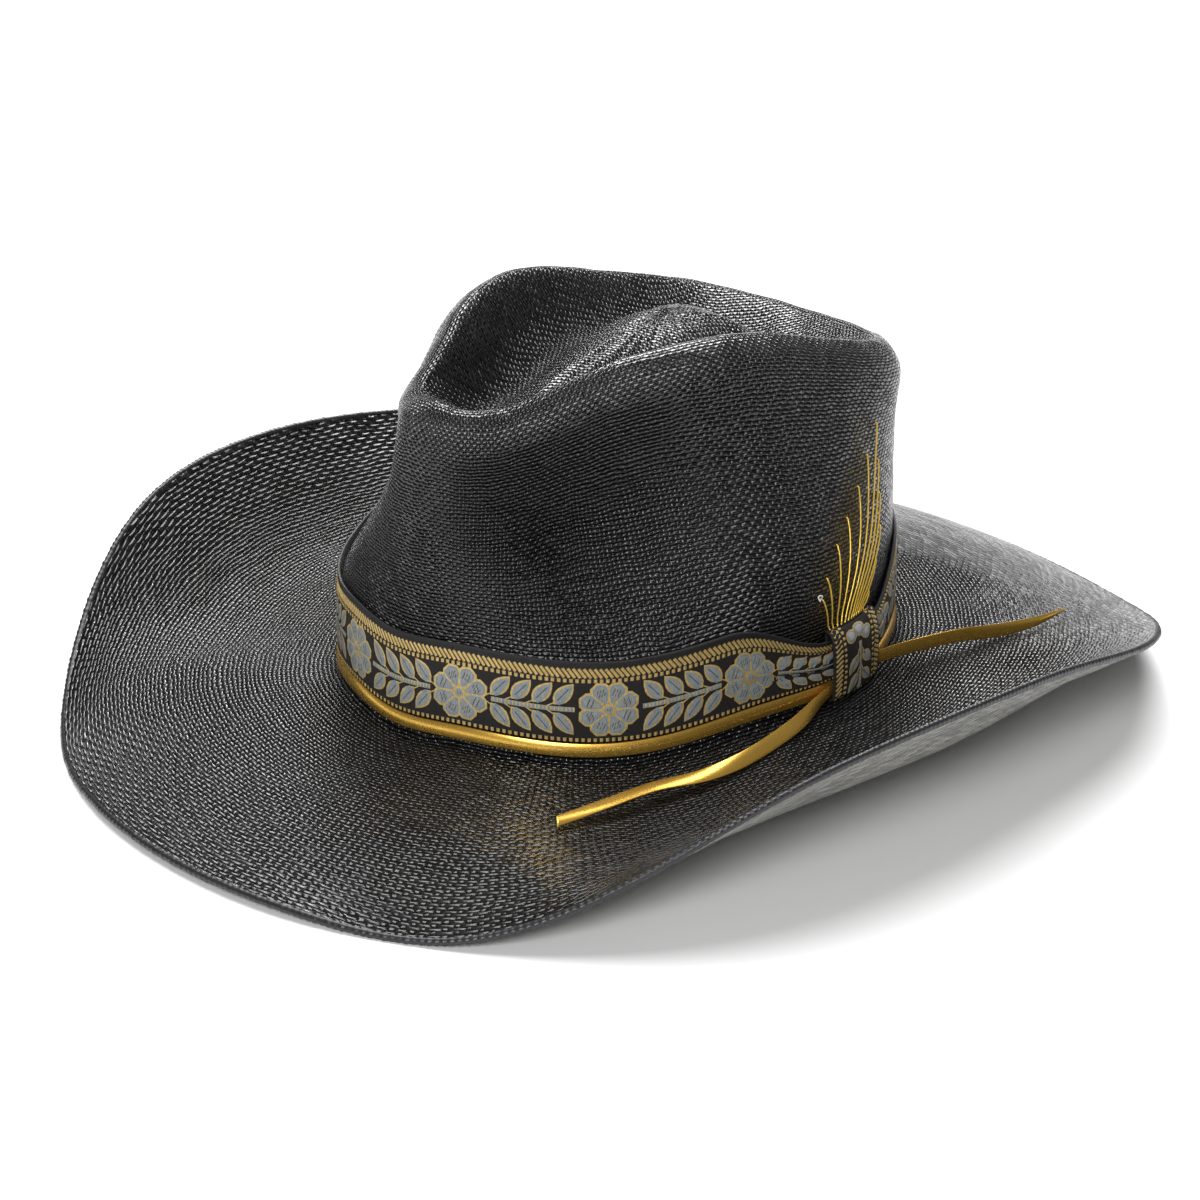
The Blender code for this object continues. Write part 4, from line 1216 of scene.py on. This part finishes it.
upright = Figures()
for y in np.arange(-1.5, 30.5, 1.72):
    upright.bar((0.7, y - 0.9), (3.5, y + 0.9), 0.95, GOLD_I, 0.02, 0.16)
    upright.bar((KEEP_WIDE - 3.4, y + 0.9), (KEEP_WIDE - 0.9, y - 0.9), 0.95, GOLD_I, 0.02, 0.16)
for y in np.arange(-1.5, 30.5, 1.95):
    upright.bar((4.2, y), (5.3, y), 1.05, GOLD_I, 0.02, 0.15)
    upright.bar((KEEP_WIDE - 4.9, y), (KEEP_WIDE - 3.9, y), 1.05, GOLD_I, 0.02, 0.15)
stem_x = KEEP_WIDE / 2 + 0.3
for i in range(13):
    y = 1.0 + i * 1.35
    upright.bar((stem_x, y), (stem_x, y + 0.8), 1.5, BLUE_I if i % 2 else GREY_I, 0.08, 0.17)
    upright.bar((stem_x, y + 0.8), (stem_x, y + 1.35), 1.4, GOLD_I, 0.06, 0.13)
for k in range(3):
    foot = 14.5 - 6.6 * k
    for side in (1, -1):
        add_leaf(upright, (stem_x + side * 1.2, foot), (stem_x + side * 5.6, foot - 6.6 if side < 0 else foot - 5.2), 3.9)
        upright.bar((stem_x + side * 0.6, foot + 1.9), (stem_x + side * 1.7, foot - 0.4), 0.42, GOLD_I, 0.06, 0.12)
for dx, dy, turn in ((-4.2, 21.5, 25), (0.2, 22.5, 90), (4.0, 20.4, 150)):
    a = math.radians(turn)
    outline2 = np.array([(2.9 * math.cos(t) * (1 + 0.25 * math.cos(t - a)), 2.5 * math.sin(t)) for t in np.linspace(0, 2 * math.pi, 14, endpoint=False)])
    mid = np.array([stem_x + dx, dy])
    upright.fan(mid + outline2 * 0.95, mid, GOLD_I, 0.03, 0.08)
    upright.fan(mid + outline2 * 0.78, mid, GREY_I, 0.1, 0.14)
    upright.fan(mid + outline2 * 0.5 + (0, 0.3), mid + (0, 0.3), PALE_I, 0.16, 0.19)
pu = np.array(upright.pts)
place = keeper_map(pu[:, 0], pu[:, 1], np.array(upright.off) + 0.03)
new_piece(
    "keeper_figures",
    place,
    upright.faces,
    [GOLD_THREAD, GREY_THREAD, BLUE_THREAD, DARK_THREAD, PALE_THREAD],
    uv=np.concatenate([pu[list(f)] for f in upright.faces]),
    mat_index=upright.mats,
    smooth=False,
)

# ================================================================ gold strip ring
ring_deg = np.linspace(MIDDLE - 359.6, MIDDLE - 0.4, 720)
near = pleat(ring_deg)
corner = []
for a, b in ((0, 0.0), (0.35, -0.0), (0.65, 0.0), (1, 0)):
    corner.append((a, 0.0))
section = [(0.0, 1.0), (0.12, 1.0), (0.5, 1.06), (0.88, 1.0), (1.0, 1.0), (1.0, 0.0), (0.5, 0.0), (0.0, 0.0)]
section = [(0.0, 0.75), (0.05, 1.0), (0.5, 1.12), (0.95, 1.0), (1.0, 0.75), (1.0, 0.2), (0.97, 0.0), (0.5, 0.0), (0.03, 0.0), (0.0, 0.2)]
rows = []
for high, out in section:
    off = 1.55 + (0.65 - 1.55) * high + STRIP_THICK * out + (0.7 + 0.3 * high) * near
    rows.append(wall_point(np.radians(ring_deg), off, STRIP_LOW + (STRIP_HIGH - STRIP_LOW) * high + 0.7 * near))
grid_r = np.array(rows).transpose(1, 0, 2)
gr, gc = grid_r.shape[:2]
fa, gi, gk = ring_faces(gr, gc)
uv = np.empty((len(fa), 4, 2))
ring_u = np.interp(ring_deg, arc_deg, arc_len)
ring_v = np.array([p[0] for p in section])
for c, (di, dk) in enumerate(((0, 0), (0, 1), (1, 1), (1, 0))):
    uv[:, c, 0] = ring_u[gi + di]
    uv[:, c, 1] = ring_v[(gk + dk) % gc]
caps = [tuple(range(gc))[::-1], tuple((gr - 1) * gc + np.arange(gc))]
strip = new_piece(
    "gold_ring",
    grid_r.reshape(-1, 3),
    [tuple(f) for f in fa] + caps,
    GOLD,
    uv=np.concatenate([uv.reshape(-1, 2), np.full((2 * gc, 2), 0.5)]),
)
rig.replaces(strip, "gold_strip_ring")


# ================================================================ gold tails
def gold_tail(name, node, body, stations, cut):
    path = smooth_path(stations, 12)
    gone_by = np.concatenate([[0], np.cumsum(np.linalg.norm(np.diff(path[:, :3], axis=0), axis=1))])
    total = gone_by[-1]
    t = np.linspace(0, total, 150)
    path = np.stack([np.interp(t, gone_by, path[:, k]) for k in range(5)], 1)
    sections, uvs_t = [], []
    shape = ((-1, -0.6), (-0.94, -1), (0, -1.0), (0.94, -1), (1, -0.6), (1, 0.6), (0.94, 1), (0, 1.15), (-0.94, 1), (-1, 0.6))
    for i, row in enumerate(path):
        ahead = path[min(i + 1, len(path) - 1), :3] - path[max(i - 1, 0), :3]
        ahead /= np.linalg.norm(ahead)
        side = np.cross(ahead, [0, 0, 1.0])
        side /= np.linalg.norm(side)
        up = np.cross(side, ahead)
        tilt = math.radians(row[3])
        across = up * math.cos(tilt) + side * math.sin(tilt)
        thin = np.cross(across, ahead)
        w = row[4] / 2
        # cut at a slant at its free end
        back = cut * max(0.0, 1 - (total - t[i]) / 3.5)
        sections.append([row[:3] + across * a * w + thin * b * 0.25 - ahead * back * (a + 1) / 2 for a, b in shape])
        uvs_t.append([(t[i], (a + 1) / 2) for a, _ in shape])
    sections = np.array(sections)
    rr, cc = sections.shape[:2]
    fa, _, _ = ring_faces(rr, cc)
    faces = [tuple(f) for f in fa] + [tuple(range(cc))[::-1], tuple((rr - 1) * cc + np.arange(cc))]
    uvp = np.array(uvs_t).reshape(-1, 2)
    piece = new_piece(name, sections.reshape(-1, 3), faces, GOLD, body=body, uv=np.concatenate([uvp[list(f)] for f in faces]))
    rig.replaces(piece, node)
    line = stand(path[:, :3])
    length = float(np.linalg.norm(np.diff(line, axis=0), axis=1).sum())
    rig.cord(
        piece,
        exit=tuple(float(x) for x in line[0]),
        length=round(length, 4),
        diameter=0.005,
        far_end="bare",
        stiffness="stiff",
        lay="loose",
        path=[tuple(float(x) for x in p) for p in line],
    )
    return piece


gold_tail("front_tail", "gold_tail_front", "tail_front", FRONT_TAIL, 2.2)
gold_tail("rear_tail", "gold_tail_rear", "tail_rear", REAR_TAIL, 0.0)

# ================================================================ gold threads and the pale knot
for number, (foot, head, height) in enumerate(THREADS, 1):
    steps = 26
    path = []
    for k in range(steps + 1):
        t = k / steps
        lift = 0.75 + 0.5 * math.sin(math.pi * t)
        lift = lift * (1 - max(0, 1 - t * 8)) + 1.5 * max(0, 1 - t * 8)
        if t > 0.9:
            lift = 0.75 + (0.42 - 0.75) * (t - 0.9) / 0.1 + 0.5 * math.sin(math.pi * t)
        path.append(crown_point(foot + (head - foot) * t, KEEPER_HIGH + 0.5 + (height - KEEPER_HIGH - 0.5) * t, lift))
    path = np.array(path)
    # little hook where the thread dives into the straw
    last, before = path[-1], path[-2]
    along = (last - before) / np.linalg.norm(last - before)
    side = np.cross(along, [0, 0, 1.0])
    side /= max(np.linalg.norm(side), 1e-6)
    inward = -np.array([math.cos(math.radians(head)), math.sin(math.radians(head)), 0])
    hook = [last + along * 0.35 + inward * 0.25, last + along * 0.3 + inward * 0.8]
    path = np.concatenate([path, hook])
    points, faces = round_tube(path, THREAD_R * 0.95, 8)
    piece = new_piece(f"yarn_{number:02d}", points, faces, YARN)
    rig.replaces(piece, f"gold_thread_{number:02d}")

knot_at = crown_point(2.6, 37.5, 0.9)
loop = [knot_at + np.array([0.35 * math.sin(2 * a), 0.75 * math.cos(a), 1.0 * math.sin(a)]) for a in np.arange(28) * 2 * np.pi / 28]
points, faces = round_tube(loop, 0.25, 8, True)
piece = new_piece("knot_loop", points, faces, KNOT_YARN)
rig.replaces(piece, "thread_knot")

# ================================================================ inside: sweatband, reed, bow, wire
for node, mat in (("sweatband", LEATHER), ("sweatband_reed", None), ("sweatband_bow", BOW_CLOTH), ("brim_wire", None)):
    obj = bpy.data.objects.get(node) if bpy.data.objects.get(node) else None
    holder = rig.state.nodes[node] if obj is None else obj
    chosen = mat or (plain("reed_cloth", (0.02, 0.02, 0.02), 0.65) if node == "sweatband_reed" else plain("spring_wire_steel", (0.4, 0.4, 0.42), 0.35, metal=1.0))
    for slot in holder.material_slots:
        slot.material = chosen
    for p in holder.data.polygons:
        p.use_smooth = node != "sweatband_bow"

# ================================================================ floor, light, camera
floor = Net("pale_floor")
floor_mat = floor.set(color=(0.93, 0.93, 0.93), rough=0.7, spec=0.2)
mesh = bpy.data.meshes.new("floor")
mesh.from_pydata([(-6, -6, 0), (6, -6, 0), (6, 6, 0), (-6, 6, 0)], [], [(0, 1, 2, 3)])
mesh.materials.append(floor_mat)
ground = bpy.data.objects.new("floor", mesh)
ground.location = (0, 0, -0.0002)
bpy.context.scene.collection.objects.link(ground)
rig.stage(ground)

world = bpy.data.worlds.new("studio")
bpy.context.scene.world = world
world.use_nodes = True
world.node_tree.nodes["Background"].inputs[0].default_value = (1, 1, 1, 1)
world.node_tree.nodes["Background"].inputs[1].default_value = 0.17


def area(name, place, size, power, target=(0, 0, 0.05)):
    light = bpy.data.lights.new(name, "AREA")
    light.shape = "RECTANGLE"
    light.size, light.size_y = size
    light.energy = power
    obj = bpy.data.objects.new(name, light)
    bpy.context.scene.collection.objects.link(obj)
    obj.location = place
    obj.rotation_euler = (Vector(target) - Vector(place)).to_track_quat("-Z", "Y").to_euler()
    return obj




def sun(name, place, power, spread):
    light = bpy.data.lights.new(name, "SUN")
    light.energy = power
    light.angle = math.radians(spread)
    obj = bpy.data.objects.new(name, light)
    bpy.context.scene.collection.objects.link(obj)
    obj.rotation_euler = (-Vector(place)).to_track_quat("-Z", "Y").to_euler()
    return obj


sun("key", (-0.3, 0.24, 1.0), 3.15, 42)
area("rim", (-0.75, 0.72, 0.68), (0.45, 0.45), 9.5)
area("front", (0.75, -1.05, 0.85), (0.5, 0.5), 14)

scene = bpy.context.scene
scene.view_settings.view_transform = "Standard"
eye = np.array([645.66363192, -664.03402904, 423.9849846])
right = np.array([0.70983279, 0.70434553, 0.00589812]) @ TURN.T
up = np.array([-0.29062504, 0.28524104, 0.91333161]) @ TURN.T
back = np.array([0.64161865, -0.65002687, 0.40717389]) @ TURN.T
spot = stand(eye)
lens = bpy.data.cameras.new("camera")
lens.sensor_width = 36
lens.lens = 87.706
lens.clip_start = 0.01
camera = bpy.data.objects.new("camera", lens)
scene.collection.objects.link(camera)
camera.matrix_world = Matrix(
    (
        (right[0], up[0], back[0], spot[0]),
        (right[1], up[1], back[1], spot[1]),
        (right[2], up[2], back[2], spot[2]),
        (0, 0, 0, 1),
    )
)
scene.camera = camera

final_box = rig.bounds()
with open("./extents.json", "w") as out_file:
    json.dump(
        {"cad": [list(map(float, c)) for c in cad_box], "visual": [list(map(float, c)) for c in final_box]},
        out_file,
    )
